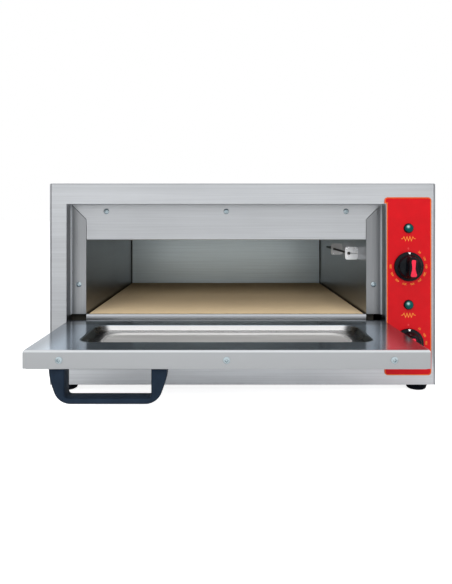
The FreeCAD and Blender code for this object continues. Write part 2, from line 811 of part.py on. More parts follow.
def make_lips(screw):
    """Mitred lips behind the door that frame the mouth of the chamber, their screws and the sill."""
    left, right = "opening_left - sheet_gauge", "opening_right + sheet_gauge"
    top, foot, corner = "opening_top + sheet_gauge", "stone_top", "opening_top - lip_width"
    outlines = {
        "top_lip": [(left, top), ("mouth_left", corner), ("mouth_left", "mouth_top"),
                    ("mouth_right", "mouth_top"), ("mouth_right", corner), (right, top)],
        "left_lip": [(left, top), (left, foot), ("mouth_left", foot), ("mouth_left", corner)],
        "right_lip": [(right, top), ("mouth_right", corner), ("mouth_right", foot), (right, foot)],
    }
    for label, corners in outlines.items():
        body = new_body(label, y="lip_y", turn=FRONT)
        sheet = new_sketch(body)
        draw_outline(sheet, corners)
        for x, z in LIP_SCREWS[label]:
            draw_circle(sheet, x, z, "screw_hole")
        pad(body, sheet, "sheet_gauge", back=True)
        if label == "top_lip":
            hem = new_sketch(body, level="-sheet_gauge")
            draw_rectangle(hem, "mouth_left", "mouth_right", "mouth_top", "mouth_top + sheet_gauge")
            pad(body, hem, "top_lip_hem", back=True)
    spots = [spot for spots in LIP_SCREWS.values() for spot in spots]
    copies("lip_screws", screw, [(x, "lip_y", z, FRONT) for x, z in spots])
    sill = new_body("sill_strip", "mouth_left", "lip_y", "stone_top")
    angle = new_sketch(sill, "YZ_Plane")
    rear = "sheet_gauge + stone_front_gap"
    draw_outline(angle, [("0", "0"), ("0", "-sill_height"), ("sheet_gauge", "-sill_height"),
                         ("sheet_gauge", "-sheet_gauge"), (rear, "-sheet_gauge"), (rear, "0")])
    pad(sill, angle, "mouth_right - mouth_left")
    soften(sill, "sill_round", lambda middle: near(middle.y, "0") and near(middle.z, "0"))


ELEMENT_HEIGHTS = {"top": "upper_element_z", "bottom": "lower_element_z"}
ELEMENT_RUNS = [f"element_first_y + 2 * element_bend * {run}" for run in range(RUN_COUNT)]
TAIL_RUNS = [ELEMENT_RUNS[0], ELEMENT_RUNS[-1]]
STAND_PLACES = ["element_left + stand_inset", "element_right - stand_inset"]
SENSOR_CLIPS = ["lip_y + clip_first", "lip_y + clip_first + clip_spacing"]
LOW_CLIP_FIRST = "low_sensor_x + (low_sensor_length - low_clip_spacing) / 2"
LOW_CLIPS = [LOW_CLIP_FIRST, LOW_CLIP_FIRST + " + low_clip_spacing"]
SENSOR_EXIT = ("sensor_y + sensor_length + capillary_bend", "sensor_z")
LOW_SENSOR_EXIT = ("low_sensor_y", "low_sensor_z")


def make_chamber():
    """Chamber sheets: two side walls with a front flange, rear wall, ceiling and floor."""
    for side, inner, way in (("left", "mouth_left", "-"), ("right", "mouth_right", "+")):
        body = new_body(f"chamber_{side}_wall", z="floor_z")
        outer = f"{inner} {way} chamber_gauge"
        flange = f"{inner} {way} chamber_flange"
        plan = new_sketch(body)
        corners = [(inner, "chamber_front"), (inner, "wall_rear"), (outer, "wall_rear"),
                   (outer, "chamber_front + chamber_gauge"), (flange, "chamber_front + chamber_gauge"),
                   (flange, "chamber_front")]
        draw_outline(plan, corners)
        pad(body, plan, "ceiling_z - floor_z")
        screws = new_sketch(body, "XZ_Plane", "cut_overrun - chamber_front")
        for x, z in LIP_SCREWS[f"{side}_lip"]:
            draw_circle(screws, x, f"{z} - floor_z", "screw_hole")
        ends = (outer, f"{flange} {way} cut_overrun")
        draw_rectangle(screws, *(ends if way == "+" else ends[::-1]), "-cut_overrun", "stone_top - floor_z")
        pocket(body, screws, "chamber_gauge + 2 * cut_overrun")
        if side == "right":
            tails = [(y, f"{z} - floor_z") for z in ELEMENT_HEIGHTS.values() for y in TAIL_RUNS]
            side_holes(body, tails, "bush_radius + element_fit", outer, "chamber_gauge")
            exits = [(y, f"{z} - floor_z") for y, z in (SENSOR_EXIT, LOW_SENSOR_EXIT)]
            side_holes(body, exits, "capillary_radius + sensor_fit", outer, "chamber_gauge")
    keep("chamber_rear_wall", box(
        "chamber_rear_wall", "mouth_right - mouth_left - 2 * rear_wall_gap", "chamber_gauge",
        "ceiling_z - floor_z", "mouth_left + rear_wall_gap", "chamber_rear", "floor_z"))
    roof = new_body("chamber_ceiling", "mouth_left - chamber_gauge")
    section = new_sketch(roof, "YZ_Plane")
    draw_outline(section, [
        ("chamber_front", "ceiling_z"), ("wall_rear", "ceiling_z"),
        ("wall_rear", "ceiling_z + chamber_gauge"),
        ("chamber_front + chamber_gauge", "ceiling_z + chamber_gauge"),
        ("chamber_front + chamber_gauge", "ceiling_z + chamber_flange"),
        ("chamber_front", "ceiling_z + chamber_flange"),
    ])
    pad(roof, section, "mouth_right - mouth_left + 2 * chamber_gauge")
    floor = new_body("chamber_floor", "mouth_left - chamber_gauge")
    section = new_sketch(floor, "YZ_Plane")
    draw_outline(section, [
        ("chamber_front - chamber_gauge", "floor_under"), ("wall_rear", "floor_under"),
        ("wall_rear", "floor_z"), ("chamber_front", "floor_z"), ("chamber_front", "opening_bottom"),
        ("chamber_front - chamber_gauge", "opening_bottom"),
    ])
    pad(floor, section, "mouth_right - mouth_left + 2 * chamber_gauge")


def make_chamber_supports():
    """Two channel rails that carry the chamber floor on the base pan."""
    body = new_body("chamber_supports", y="chamber_front", turn=FRONT)
    channel = new_sketch(body)
    for outer, way in (("mouth_left + support_inset", "+"), ("mouth_right - support_inset", "-")):
        web = f"{outer} {way} sheet_gauge"
        inner = f"{outer} {way} support_width"
        draw_outline(channel, [
            (outer, "base_top"), (inner, "base_top"), (inner, "base_top + sheet_gauge"),
            (web, "base_top + sheet_gauge"), (web, "floor_under - sheet_gauge"),
            (inner, "floor_under - sheet_gauge"), (inner, "floor_under"), (outer, "floor_under"),
        ])
    pad(body, channel, "chamber_rear - chamber_front", back=True)


def make_stone():
    """Baking stone and the two angle rails that carry it along the side walls."""
    body = new_body("baking_stone", z="stone_bottom")
    slab = new_sketch(body)
    draw_rectangle(slab, "mouth_left + stone_side_gap", "mouth_right - stone_side_gap",
                   "chamber_front + stone_front_gap", "chamber_rear - stone_rear_gap")
    pad(body, slab, "stone_thickness")
    soften(body, "stone_edge", lambda middle: near(middle.z, "stone_thickness"), "Chamfer")
    rails = new_body("stone_rails", y="chamber_front + stone_front_gap", turn=FRONT)
    angle = new_sketch(rails)
    for wall, way in (("mouth_left", "+"), ("mouth_right", "-")):
        tip = f"{wall} {way} rail_width"
        leg = f"{wall} {way} sheet_gauge"
        under, rim = "stone_bottom - sheet_gauge", "stone_bottom + rail_rise"
        draw_outline(angle, [(wall, under), (tip, under), (tip, "stone_bottom"), (leg, "stone_bottom"),
                             (leg, rim), (wall, rim)])
    pad(rails, angle, "chamber_rear - chamber_front - 2 * stone_front_gap", back=True)


def make_elements():
    """Tubular heating elements: straight runs and half-round bends, both tails out of the right wall."""
    for name, height in ELEMENT_HEIGHTS.items():
        label = f"{name}_heating_element"
        pieces = []
        for run, y in enumerate(ELEMENT_RUNS):
            right = "element_end" if y in TAIL_RUNS else "element_right"
            pieces.append(rod(f"{label}_run", "element_radius", f"{right} - element_left",
                              "element_left", y, height, RIGHT))
            if run == RUN_COUNT - 1:
                break
            x, turn = ("element_left", BEND_LEFT) if run % 2 == 0 else ("element_right", BEND_RIGHT)
            pieces.append(bend(f"{label}_bend", "element_bend", "element_radius", x, f"{y} + element_bend",
                               height, turn, 180))
        keep(label, fuse(label, pieces))
    stand_length = "2 * stand_reach + ({}) - ({})".format(ELEMENT_RUNS[-1], ELEMENT_RUNS[0])
    for label, height, foot in (("top_element_hangers", "upper_element_z", "upper_element_z - stand_reach"),
                                ("bottom_element_stands", "lower_element_z", "floor_z")):
        strips = []
        for x in STAND_PLACES:
            strip = box(f"{label}_strip", "sheet_gauge", stand_length, "element_offset + stand_reach",
                        x, f"{ELEMENT_RUNS[0]} - stand_reach", foot)
            holes = [rod(f"{label}_hole", "element_radius + element_fit", "sheet_gauge + 2 * cut_overrun",
                         f"{x} - cut_overrun", y, height, RIGHT) for y in ELEMENT_RUNS]
            strips.append(cut(f"{label}_cut", strip, holes))
        keep(label, gather(label, strips))
    bush = new_body("element_bush", kept=False)
    length = "chamber_gauge + insulation_right_thickness"
    revolve(bush, [
        ("element_radius + element_fit", "0"), ("bush_radius", "0"), ("bush_radius", length),
        ("bush_flange_radius", length), ("bush_flange_radius", f"{length} + bush_flange"),
        ("element_radius + element_fit", f"{length} + bush_flange"),
    ])
    copies("element_bushes", bush, [("mouth_right", y, z, RIGHT)
                                    for z in ELEMENT_HEIGHTS.values() for y in TAIL_RUNS])


def make_sensors():
    """Thermostat bulbs: one held along the right wall by two clips, one under the stone."""
    exit_y, exit_z = SENSOR_EXIT
    bulb_end = "sensor_y + sensor_length"
    turn_x = "sensor_x + capillary_bend"
    keep("top_sensor", fuse("top_sensor", [
        rod("top_bulb", "sensor_radius", "sensor_length", "sensor_x", "sensor_y", "sensor_z", REAR),
        bend("top_capillary_bend", "capillary_bend", "capillary_radius", turn_x, bulb_end, "sensor_z",
             BEND_LEFT, 90),
        rod("top_capillary", "capillary_radius", f"wall_outside - ({turn_x})", turn_x, exit_y, exit_z,
            RIGHT),
    ]))
    keep("bottom_sensor", fuse("bottom_sensor", [
        rod("bottom_bulb", "sensor_radius", "low_sensor_length",
            "low_sensor_x", "low_sensor_y", "low_sensor_z", RIGHT),
        rod("bottom_capillary", "capillary_radius", "wall_outside - low_sensor_x",
            "low_sensor_x", "low_sensor_y", "low_sensor_z", RIGHT),
    ]))
    wall_clip = new_body("wall_clip", kept=False)
    angle = new_sketch(wall_clip, level="-clip_size / 2")
    draw_outline(angle, [("0", "0"), ("0", "clip_foot"), ("-clip_gauge", "clip_foot"),
                         ("-clip_gauge", "clip_gauge"), ("-clip_size", "clip_gauge"), ("-clip_size", "0")])
    pad(wall_clip, angle, "clip_size")
    hole = new_sketch(wall_clip, "XZ_Plane", "cut_overrun")
    draw_circle(hole, "-sensor_wall_gap", "0", "sensor_radius + sensor_fit")
    pocket(wall_clip, hole, "clip_gauge + 2 * cut_overrun")
    copies("top_sensor_clips", wall_clip, [("mouth_right", y, "sensor_z", UP) for y in SENSOR_CLIPS])
    floor_clip = new_body("floor_clip", kept=False)
    angle = new_sketch(floor_clip, "XZ_Plane", "-low_sensor_height")
    draw_outline(angle, [("0", "0"), ("clip_foot", "0"), ("clip_foot", "clip_gauge"),
                         ("clip_gauge", "clip_gauge"), ("clip_gauge", "2 * low_sensor_height"),
                         ("0", "2 * low_sensor_height")])
    pad(floor_clip, angle, "2 * low_sensor_height")
    side_holes(floor_clip, [("0", "low_sensor_height")], "sensor_radius + sensor_fit",
               "clip_gauge", "clip_gauge")
    copies("bottom_sensor_clips", floor_clip, [(x, "low_sensor_y", "floor_z", UP) for x in LOW_CLIPS])


def make_insulation():
    """Mineral wool slabs round the chamber; the right one is pierced for the element bushes."""
    left = "mouth_left - chamber_gauge"
    front = "chamber_front + insulation_front_gap"
    width = "mouth_right - mouth_left + 2 * chamber_gauge"
    length = "wall_rear - chamber_front - insulation_front_gap"
    height = "ceiling_z - floor_z"
    support = "support_inset + support_width"
    slabs = {
        "insulation_top": (width, length, "insulation_top_thickness",
                           left, front, "ceiling_z + chamber_gauge"),
        "insulation_left": ("insulation_left_thickness", length, height,
                            f"{left} - insulation_left_thickness", front, "floor_z"),
        "insulation_rear": (width, "insulation_rear_thickness", height, left, "wall_rear", "floor_z"),
        "insulation_bottom": (f"mouth_right - mouth_left - 2 * ({support})", length,
                              "insulation_floor_thickness", f"mouth_left + {support}", front,
                              "floor_under - insulation_floor_thickness"),
    }
    for label, sizes_and_place in slabs.items():
        keep(label, box(label, *sizes_and_place))
    slab = box("right_slab", "insulation_right_thickness", length, height, "wall_outside", front, "floor_z")
    start = "wall_outside - cut_overrun"
    through = "insulation_right_thickness + 2 * cut_overrun"
    holes = [rod("bush_hole", "bush_radius + element_fit", through, start, y, z, RIGHT)
             for z in ELEMENT_HEIGHTS.values() for y in TAIL_RUNS]
    keep("insulation_right", cut("insulation_right", slab, holes))


def make_door_inner_panel():
    """Inner door skin: a lid with folded edges and a sunk pan drawn into its middle."""
    lid = new_body("door_inner_panel", "opening_middle", "door_rear_y", "door_under")
    block = new_sketch(lid, level="door_hem")
    draw_rectangle(block, "-door_width / 2", "door_width / 2", "-door_height", "0")
    pad(lid, block, "door_thickness - door_hem")
    soften(lid, "door_bend", lambda middle: not near(middle.z, "door_hem"))
    shell(lid, "sheet_gauge", "door_hem")
    free, hinge = "pan_free_margin - door_height", "-pan_hinge_margin"
    underside = new_sketch(lid, level="door_thickness - sheet_gauge")
    draw_rounded_rectangle(underside, "-pan_half - sheet_gauge", "pan_half + sheet_gauge",
                           f"{free} - sheet_gauge", f"{hinge} + sheet_gauge", "pan_corner + sheet_gauge")
    pad(lid, underside, "pan_depth", back=True, slope=-PAN_SLOPE_DEGREES)
    drawn = new_sketch(lid, level="door_thickness")
    draw_rounded_rectangle(drawn, "-pan_half", "pan_half", free, hinge, "pan_corner")
    pocket(lid, drawn, "pan_depth", slope=-PAN_SLOPE_DEGREES)

    def on_rim(middle):
        across = abs(middle.x) < number("pan_half + sheet_gauge")
        along = number(f"{free} - sheet_gauge") < middle.y < number(f"{hinge} + sheet_gauge")
        return across and along and near(middle.z, "door_thickness")

    soften(lid, "pan_edge_round", on_rim)
    soften(lid, "pan_cove", lambda middle: near(middle.z, "door_thickness - pan_depth"))
    drill_door_edge(lid)


def drill_door_edge(body):
    """Drill the free edge for its screws and both sides for the hinge pins."""
    edge = new_sketch(body, "XZ_Plane", "door_height + cut_overrun")
    for x in DOOR_SCREWS:
        draw_circle(edge, x, "door_thickness / 2", "screw_hole")
    pocket(body, edge, "2 * skin_wrap + cut_overrun")
    side_holes(body, [("-hinge_rise", "hinge_inset")], "pin_radius + pin_fit",
               "door_width / 2", "door_width")


def make_door_outer_panel():
    """Outer door skin: a tray that nests inside the inner panel's folded edges."""
    tray = new_body("door_outer_panel", "opening_middle", "door_rear_y", "door_under")
    block = new_sketch(tray)
    draw_rectangle(block, "-tray_half", "tray_half", "skin_wrap - door_height", "-skin_wrap")
    height = "door_thickness - door_bend - sheet_gauge"
    pad(tray, block, height)
    soften(tray, "tray_bend", lambda middle: not near(middle.z, height))
    shell(tray, "sheet_gauge", height)
    drill_door_edge(tray)
    sole = new_sketch(tray, level="sheet_gauge + cut_overrun")
    for leg in HANDLE_LEGS:
        draw_circle(sole, f"handle_x - opening_middle + {leg}",
                    "handle_y + handle_depth / 2 - door_rear_y", "screw_hole")
    pocket(tray, sole, "sheet_gauge + 2 * cut_overrun")


def make_door_fill():
    """Insulation between the tray and the pan."""
    keep("door_insulation", box(
        "door_insulation", "2 * pan_half", "door_height - pan_free_margin - pan_hinge_margin",
        "door_thickness - pan_depth - 2 * sheet_gauge", "opening_middle - pan_half",
        "door_rear_y - door_height + pan_free_margin", "door_under + sheet_gauge"))


def make_handle():
    """Moulded bow handle: two legs that swell outwards and a bar, drilled for a screw in each leg."""
    body = new_body("door_handle", "handle_x", "handle_y", "door_under", FRONT)
    half, foot, gap = "handle_length / 2", "handle_length / 2 - handle_taper", "handle_gap / 2"
    bow = new_sketch(body)
    draw_outline(bow, [
        (f"-{half}", "0"), (f"-({foot})", "-handle_projection"), (foot, "-handle_projection"), (half, "0"),
        (gap, "0"), (gap, "handle_bar - handle_projection"), (f"-{gap}", "handle_bar - handle_projection"),
        (f"-{gap}", "0"),
    ], swells={0: "handle_bulge", 2: "handle_bulge"})
    pad(body, bow, "handle_depth", back=True)
    soften(body, "handle_corner", lambda middle: near(middle.y, "-handle_projection")
           and near(abs(middle.x), foot))
    soften(body, "handle_gap_corner", lambda middle: near(middle.y, "handle_bar - handle_projection")
           and near(abs(middle.x), gap))
    soften(body, "handle_round", lambda middle: middle.y < -number("handle_round")
           and (near(middle.z, "0") or near(middle.z, "-handle_depth")))
    holes = new_sketch(body, "XZ_Plane", "-cut_overrun")
    for leg in HANDLE_LEGS:
        draw_circle(holes, leg, "-handle_depth / 2", "screw_hole")
    pocket(body, holes, "screw_length + cut_overrun", along=True)


def make_door_fasteners(screw):
    """Screws of the free edge and the handle, hinge pins and the blocks that hold the pins."""
    free_y = "door_rear_y - door_height"
    mid_height = "door_under + door_thickness / 2"
    copies("door_edge_screws", screw, [(f"opening_middle + {x}", free_y, mid_height, FRONT)
                                       for x in DOOR_SCREWS])
    handle_middle, tray_floor = "handle_y + handle_depth / 2", "door_under + sheet_gauge"
    copies("handle_screws", screw, [(f"handle_x + {leg}", handle_middle, tray_floor, UP)
                                    for leg in HANDLE_LEGS])
    outside = "door_side_gap + sheet_gauge + pin_tail"
    length = f"{outside} + pin_engagement"
    keep("hinge_pins", gather("hinge_pins", [
        rod("left_pin", "pin_radius", length, f"door_left - ({outside})", "hinge_y", "hinge_z", RIGHT),
        rod("right_pin", "pin_radius", length, f"door_right + {outside}", "hinge_y", "hinge_z", LEFT),
    ]))
    block = new_body("hinge_block", kept=False)
    side = new_sketch(block, "YZ_Plane")
    rear, floor, bend_inside = "-skin_wrap - sheet_gauge", "sheet_gauge", "(tray_bend - sheet_gauge)"
    draw_outline(side, [
        (rear, f"{floor} + {bend_inside}"), (rear, f"{floor} + hinge_block_height"),
        (f"{rear} - hinge_block_length", f"{floor} + hinge_block_height"),
        (f"{rear} - hinge_block_length", floor), (f"{rear} - {bend_inside}", floor),
    ])
    draw_circle(side, "-hinge_rise", "hinge_inset", "pin_radius + pin_fit")
    pad(block, side, "hinge_block_width")
    inset = "skin_wrap + tray_bend"
    copies("hinge_blocks", block, [
        (f"door_left + {inset}", "door_rear_y", "door_under", UP),
        (f"door_right - ({inset}) - hinge_block_width", "door_rear_y", "door_under", UP),
    ])


def make_hinge_bushes():
    """Flanged bushes in the recess walls that the hinge pins turn in."""
    bush = new_body("hinge_bush", kept=False)
    bore = "pin_radius + pin_fit"
    flange = "sheet_gauge + hinge_bush_flange"
    revolve(bush, [
        (bore, "0"), ("hinge_bush_radius", "0"), ("hinge_bush_radius", "sheet_gauge"),
        ("hinge_bush_flange_radius", "sheet_gauge"), ("hinge_bush_flange_radius", flange), (bore, flange),
    ])
    copies("hinge_bushes", bush, [("opening_left", "hinge_y", "hinge_z", LEFT),
                                  ("opening_right", "hinge_y", "hinge_z", RIGHT)])


def make_control_plate():
    """Thin plate over the control column, notched beside the opening, with holes for knobs and lamps."""
    body = new_body("control_plate", y="front_y", turn=FRONT)
    sheet = new_sketch(body)
    notch = "opening_right + plate_margin"
    notch_bottom = "opening_bottom - plate_notch_gap"
    notch_top = "opening_top + plate_notch_gap"
    draw_outline(sheet, [
        ("plate_left", "plate_bottom"), ("plate_right", "plate_bottom"), ("plate_right", "plate_top"),
        ("plate_left", "plate_top"), ("plate_left", notch_top), (notch, notch_top),
        (notch, notch_bottom), ("plate_left", notch_bottom),
    ])
    for knob_z in KNOBS.values():
        draw_circle(sheet, "control_x", knob_z, "neck_hole")
    for lamp_z in LAMPS:
        draw_circle(sheet, "control_x", lamp_z, "barrel_hole")
    pad(body, sheet, "plate_thickness")


    def on_corner(middle):
        at_side = near(middle.x, "plate_left") or near(middle.x, "plate_right")
        return at_side and (near(middle.y, "plate_bottom") or near(middle.y, "plate_top"))

    soften(body, "plate_corner", on_corner)


def make_lamps():
    """Pilot lamps: a bezel with a barrel through the panel and a domed lens in its bore."""
    bezel = new_body("pilot_bezel", kept=False)
    face = "plate_thickness"
    revolve(bezel, [
        ("bezel_bore", "-bezel_barrel"), ("barrel_radius", "-bezel_barrel"), ("barrel_radius", face),
        ("bezel_radius", face), ("bezel_radius", f"{face} + bezel_height - bezel_edge"),
        ("bezel_radius - bezel_edge", f"{face} + bezel_height"), ("bezel_bore", f"{face} + bezel_height"),
    ])
    lens = new_body("pilot_lens", kept=False)
    revolve(lens, [("0", "0"), ("lens_radius", "0"), ("lens_radius", f"{face} + bezel_height"),
                   ("0", f"{face} + lens_height")])
    spots = [("control_x", "front_y", lamp_z, FRONT) for lamp_z in LAMPS]
    copies("pilot_bezels", bezel, spots)
    copies("pilot_lenses", lens, spots)


def draw_grip(sketch, half_length, top_half_width, bottom_half_width, waist):
    """Draw an upright bar with round ends, wider below, whose long sides draw in to a waist."""
    draw_outline(sketch, [
        (f"-({bottom_half_width})", f"-({half_length})"), (bottom_half_width, f"-({half_length})"),
        (top_half_width, half_length), (f"-({top_half_width})", half_length),
    ], swells={0: waist, 1: f"-({waist})", 2: waist, 3: f"-({waist})"})


def make_knob(name, knob_z):
    """Knob with a skirt, a drum and a waisted grip bar, the insert in the bar, and the shaft it turns."""
    body = new_body(f"{name}_knob", "control_x", "front_y", knob_z, FRONT)
    revolve(body, [
        ("0", "knob_back"), ("skirt_radius", "knob_back"),
        ("skirt_radius", "knob_back + skirt_height - skirt_edge"),
        ("skirt_radius - skirt_edge", "knob_back + skirt_height"),
        ("drum_radius", "knob_back + skirt_height"),
        ("drum_radius - skirt_edge", "knob_back + drum_height"), ("0", "knob_back + drum_height"),
    ])
    bar = new_sketch(body, level="knob_back")
    draw_grip(bar, "grip_half_length", "grip_top_half_width", "grip_bottom_half_width", "grip_waist")
    pad(body, bar, "grip_height")
    soften(body, "grip_edge", lambda middle: near(middle.z, "grip_top"), "Chamfer")
    seat = new_sketch(body, level="grip_top")
    draw_grip(seat, "insert_half_length + insert_fit", "insert_top_half_width + insert_fit",
              "insert_bottom_half_width + insert_fit", "insert_waist")
    pocket(body, seat, "insert_sink")
    bore = new_sketch(body, level="knob_back + shaft_engagement")
    draw_circle(bore, "0", "0", "shaft_radius + shaft_fit")
    pocket(body, bore, "shaft_engagement + cut_overrun")
    insert = new_body(f"{name}_knob_insert", "control_x", "front_y", knob_z, FRONT)
    strip = new_sketch(insert, level="grip_top - insert_sink")
    draw_grip(strip, "insert_half_length", "insert_top_half_width", "insert_bottom_half_width",
              "insert_waist")
    pad(insert, strip, "insert_sink + insert_proud")
    keep(f"{name}_thermostat_shaft", rod(
        f"{name}_thermostat_shaft", "shaft_radius",
        "sheet_gauge + shaft_tail + knob_back + shaft_engagement",
        "control_x", "front_y + sheet_gauge + shaft_tail", knob_z, FRONT))


def make_thermostat(name, knob_z):
    """Thermostat behind the front panel, with a neck that carries the shaft through it."""
    body = new_body(f"{name}_thermostat", "control_x", "front_y", knob_z, FRONT)
    case = new_sketch(body, level="-sheet_gauge")
    draw_rectangle(case, "-thermostat_width / 2", "thermostat_width / 2",
                   "-thermostat_height / 2", "thermostat_height / 2")
    pad(body, case, "thermostat_depth", back=True)
    soften(body, "thermostat_round", lambda middle: near(abs(middle.x), "thermostat_width / 2")
           and near(abs(middle.y), "thermostat_height / 2"))
    neck = new_sketch(body, level="-sheet_gauge")
    draw_circle(neck, "0", "0", "neck_radius")
    pad(body, neck, "sheet_gauge + plate_thickness")
    bore = new_sketch(body, level="plate_thickness")
    draw_circle(bore, "0", "0", "shaft_radius + shaft_fit")
    pocket(body, bore, "plate_thickness + sheet_gauge + shaft_tail + shaft_fit")


def make_all():
    """Make every sub-part."""
    screw = make_screw()
    make_case_cover()
    make_front_panel()
    make_rear_panel()
    make_base_pan()
    make_feet(screw)
    make_case_screws(screw)
    make_cable_gland()
    make_terminal_block()
    make_lips(screw)
    make_chamber()
    make_chamber_supports()
    make_stone()
    make_elements()
    make_sensors()
    make_insulation()
    make_door_inner_panel()
    make_door_outer_panel()
    make_door_fill()
    make_handle()
    make_door_fasteners(screw)
    make_hinge_bushes()
    make_control_plate()
    make_lamps()
    for name, knob_z in KNOBS.items():
        make_knob(name, knob_z)
        make_thermostat(name, knob_z)
    doc.recompute()


def write_parts():
    """Check every object, then write each sub-part to its own file."""
    for item in doc.Objects:
        if {"Invalid", "Error"} & set(item.State):
            raise RuntimeError(f"{item.Name} failed: {item.State}")
    for label, item in subparts.items():
        if item.Shape.isNull() or not item.Shape.isValid() or not item.Shape.Solids:
            raise RuntimeError(f"{label} has no sound solid")
    os.makedirs("parts", exist_ok=True)
    for label, item in subparts.items():
        item.Shape.exportStep(os.path.join("parts", f"{label}.step"))


make_all()
write_parts()
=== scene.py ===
"""Looks of an electric pizza oven: steel casing, drop-down door, red control column, baking stone.

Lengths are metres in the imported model's frame: +Z up, -Y out of the front, +X to the right.
"""

import json
import logging
from dataclasses import dataclass, field, replace
from enum import Enum
from typing import Iterator, Sequence

import bpy
import bmesh
import numpy as np
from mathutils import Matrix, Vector


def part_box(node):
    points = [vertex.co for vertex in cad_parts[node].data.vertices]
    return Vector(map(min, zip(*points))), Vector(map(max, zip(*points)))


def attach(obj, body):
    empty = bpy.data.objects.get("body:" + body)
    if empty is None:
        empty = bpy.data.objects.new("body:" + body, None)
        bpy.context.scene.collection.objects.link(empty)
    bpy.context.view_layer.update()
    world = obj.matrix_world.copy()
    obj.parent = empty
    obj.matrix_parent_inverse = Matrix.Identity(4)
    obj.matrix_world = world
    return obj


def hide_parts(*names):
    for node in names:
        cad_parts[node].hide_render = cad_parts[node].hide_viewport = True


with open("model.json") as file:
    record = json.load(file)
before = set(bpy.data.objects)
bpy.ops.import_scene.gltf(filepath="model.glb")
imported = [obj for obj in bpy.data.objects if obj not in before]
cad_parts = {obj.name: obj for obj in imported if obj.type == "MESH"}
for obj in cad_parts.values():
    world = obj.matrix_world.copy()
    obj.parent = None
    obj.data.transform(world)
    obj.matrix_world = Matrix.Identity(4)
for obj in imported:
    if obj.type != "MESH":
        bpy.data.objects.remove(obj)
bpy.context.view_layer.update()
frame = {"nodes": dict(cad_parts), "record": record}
LOG = logging.getLogger("pizza_oven")
MM = 0.001
Array = np.ndarray
Colour = tuple[float, float, float]
Ring = tuple[float, float, float, float, float, float]
Pieces = Iterator[bpy.types.Object]
CREASE = 0.6  # angle past which an edge of a new piece stays crisp
DOUBLE = 1e-6  # points nearer than this are one
SHARPEST = 0.05  # least divisor of a mitre, which keeps sharp turns short
BLEND = (0.3, 0.7)  # tones between which a finish goes from its darker to its paler colour
# black towards which painted shade darkens a colour; the floor's glow also starts from it
SHADE_BLACK = (0.0, 0.0, 0.0)
WHITE = (1.0, 1.0, 1.0)


class Grain(Enum):
    """Way that a sheet was brushed, as noise scales per metre along X, Y and Z."""

    ALONG_X = (5.0, 420.0, 420.0)
    ALONG_Y = (420.0, 5.0, 420.0)
    ALONG_Z = (420.0, 420.0, 5.0)


class Shade:
    """A value in a node tree that Python operators can combine."""

    def __init__(self, desk: "Desk", socket: bpy.types.NodeSocket) -> None:
        """Keep the tree's desk and the output socket."""
        self.desk = desk
        self.socket = socket

    def _math(self, operation: str, first: "Shade | float", second: "Shade | float") -> "Shade":
        """Add one Math node.

        Args:
            operation: The node's operation.
            first: Its first value.
            second: Its second value.

        Returns:
            The result.
        """
        return self.desk.add("ShaderNodeMath", {"operation": operation}, {0: first, 1: second})

    def __add__(self, other: "Shade | float") -> "Shade":
        """Sum."""
        return self._math("ADD", self, other)

    def __radd__(self, other: float) -> "Shade":
        """Sum with a number on the left."""
        return self._math("ADD", other, self)

    def __sub__(self, other: "Shade | float") -> "Shade":
        """Difference."""
        return self._math("SUBTRACT", self, other)

    def __rsub__(self, other: float) -> "Shade":
        """Difference from a number on the left."""
        return self._math("SUBTRACT", other, self)

    def __mul__(self, other: "Shade | float") -> "Shade":
        """Product."""
        return self._math("MULTIPLY", self, other)

    def __rmul__(self, other: float) -> "Shade":
        """Product with a number on the left."""
        return self._math("MULTIPLY", other, self)

    def __pow__(self, other: "Shade | float") -> "Shade":
        """Power."""
        return self._math("POWER", self, other)

    def most(self, other: "Shade | float") -> "Shade":
        """Return the larger of two values."""
        return self._math("MAXIMUM", self, other)


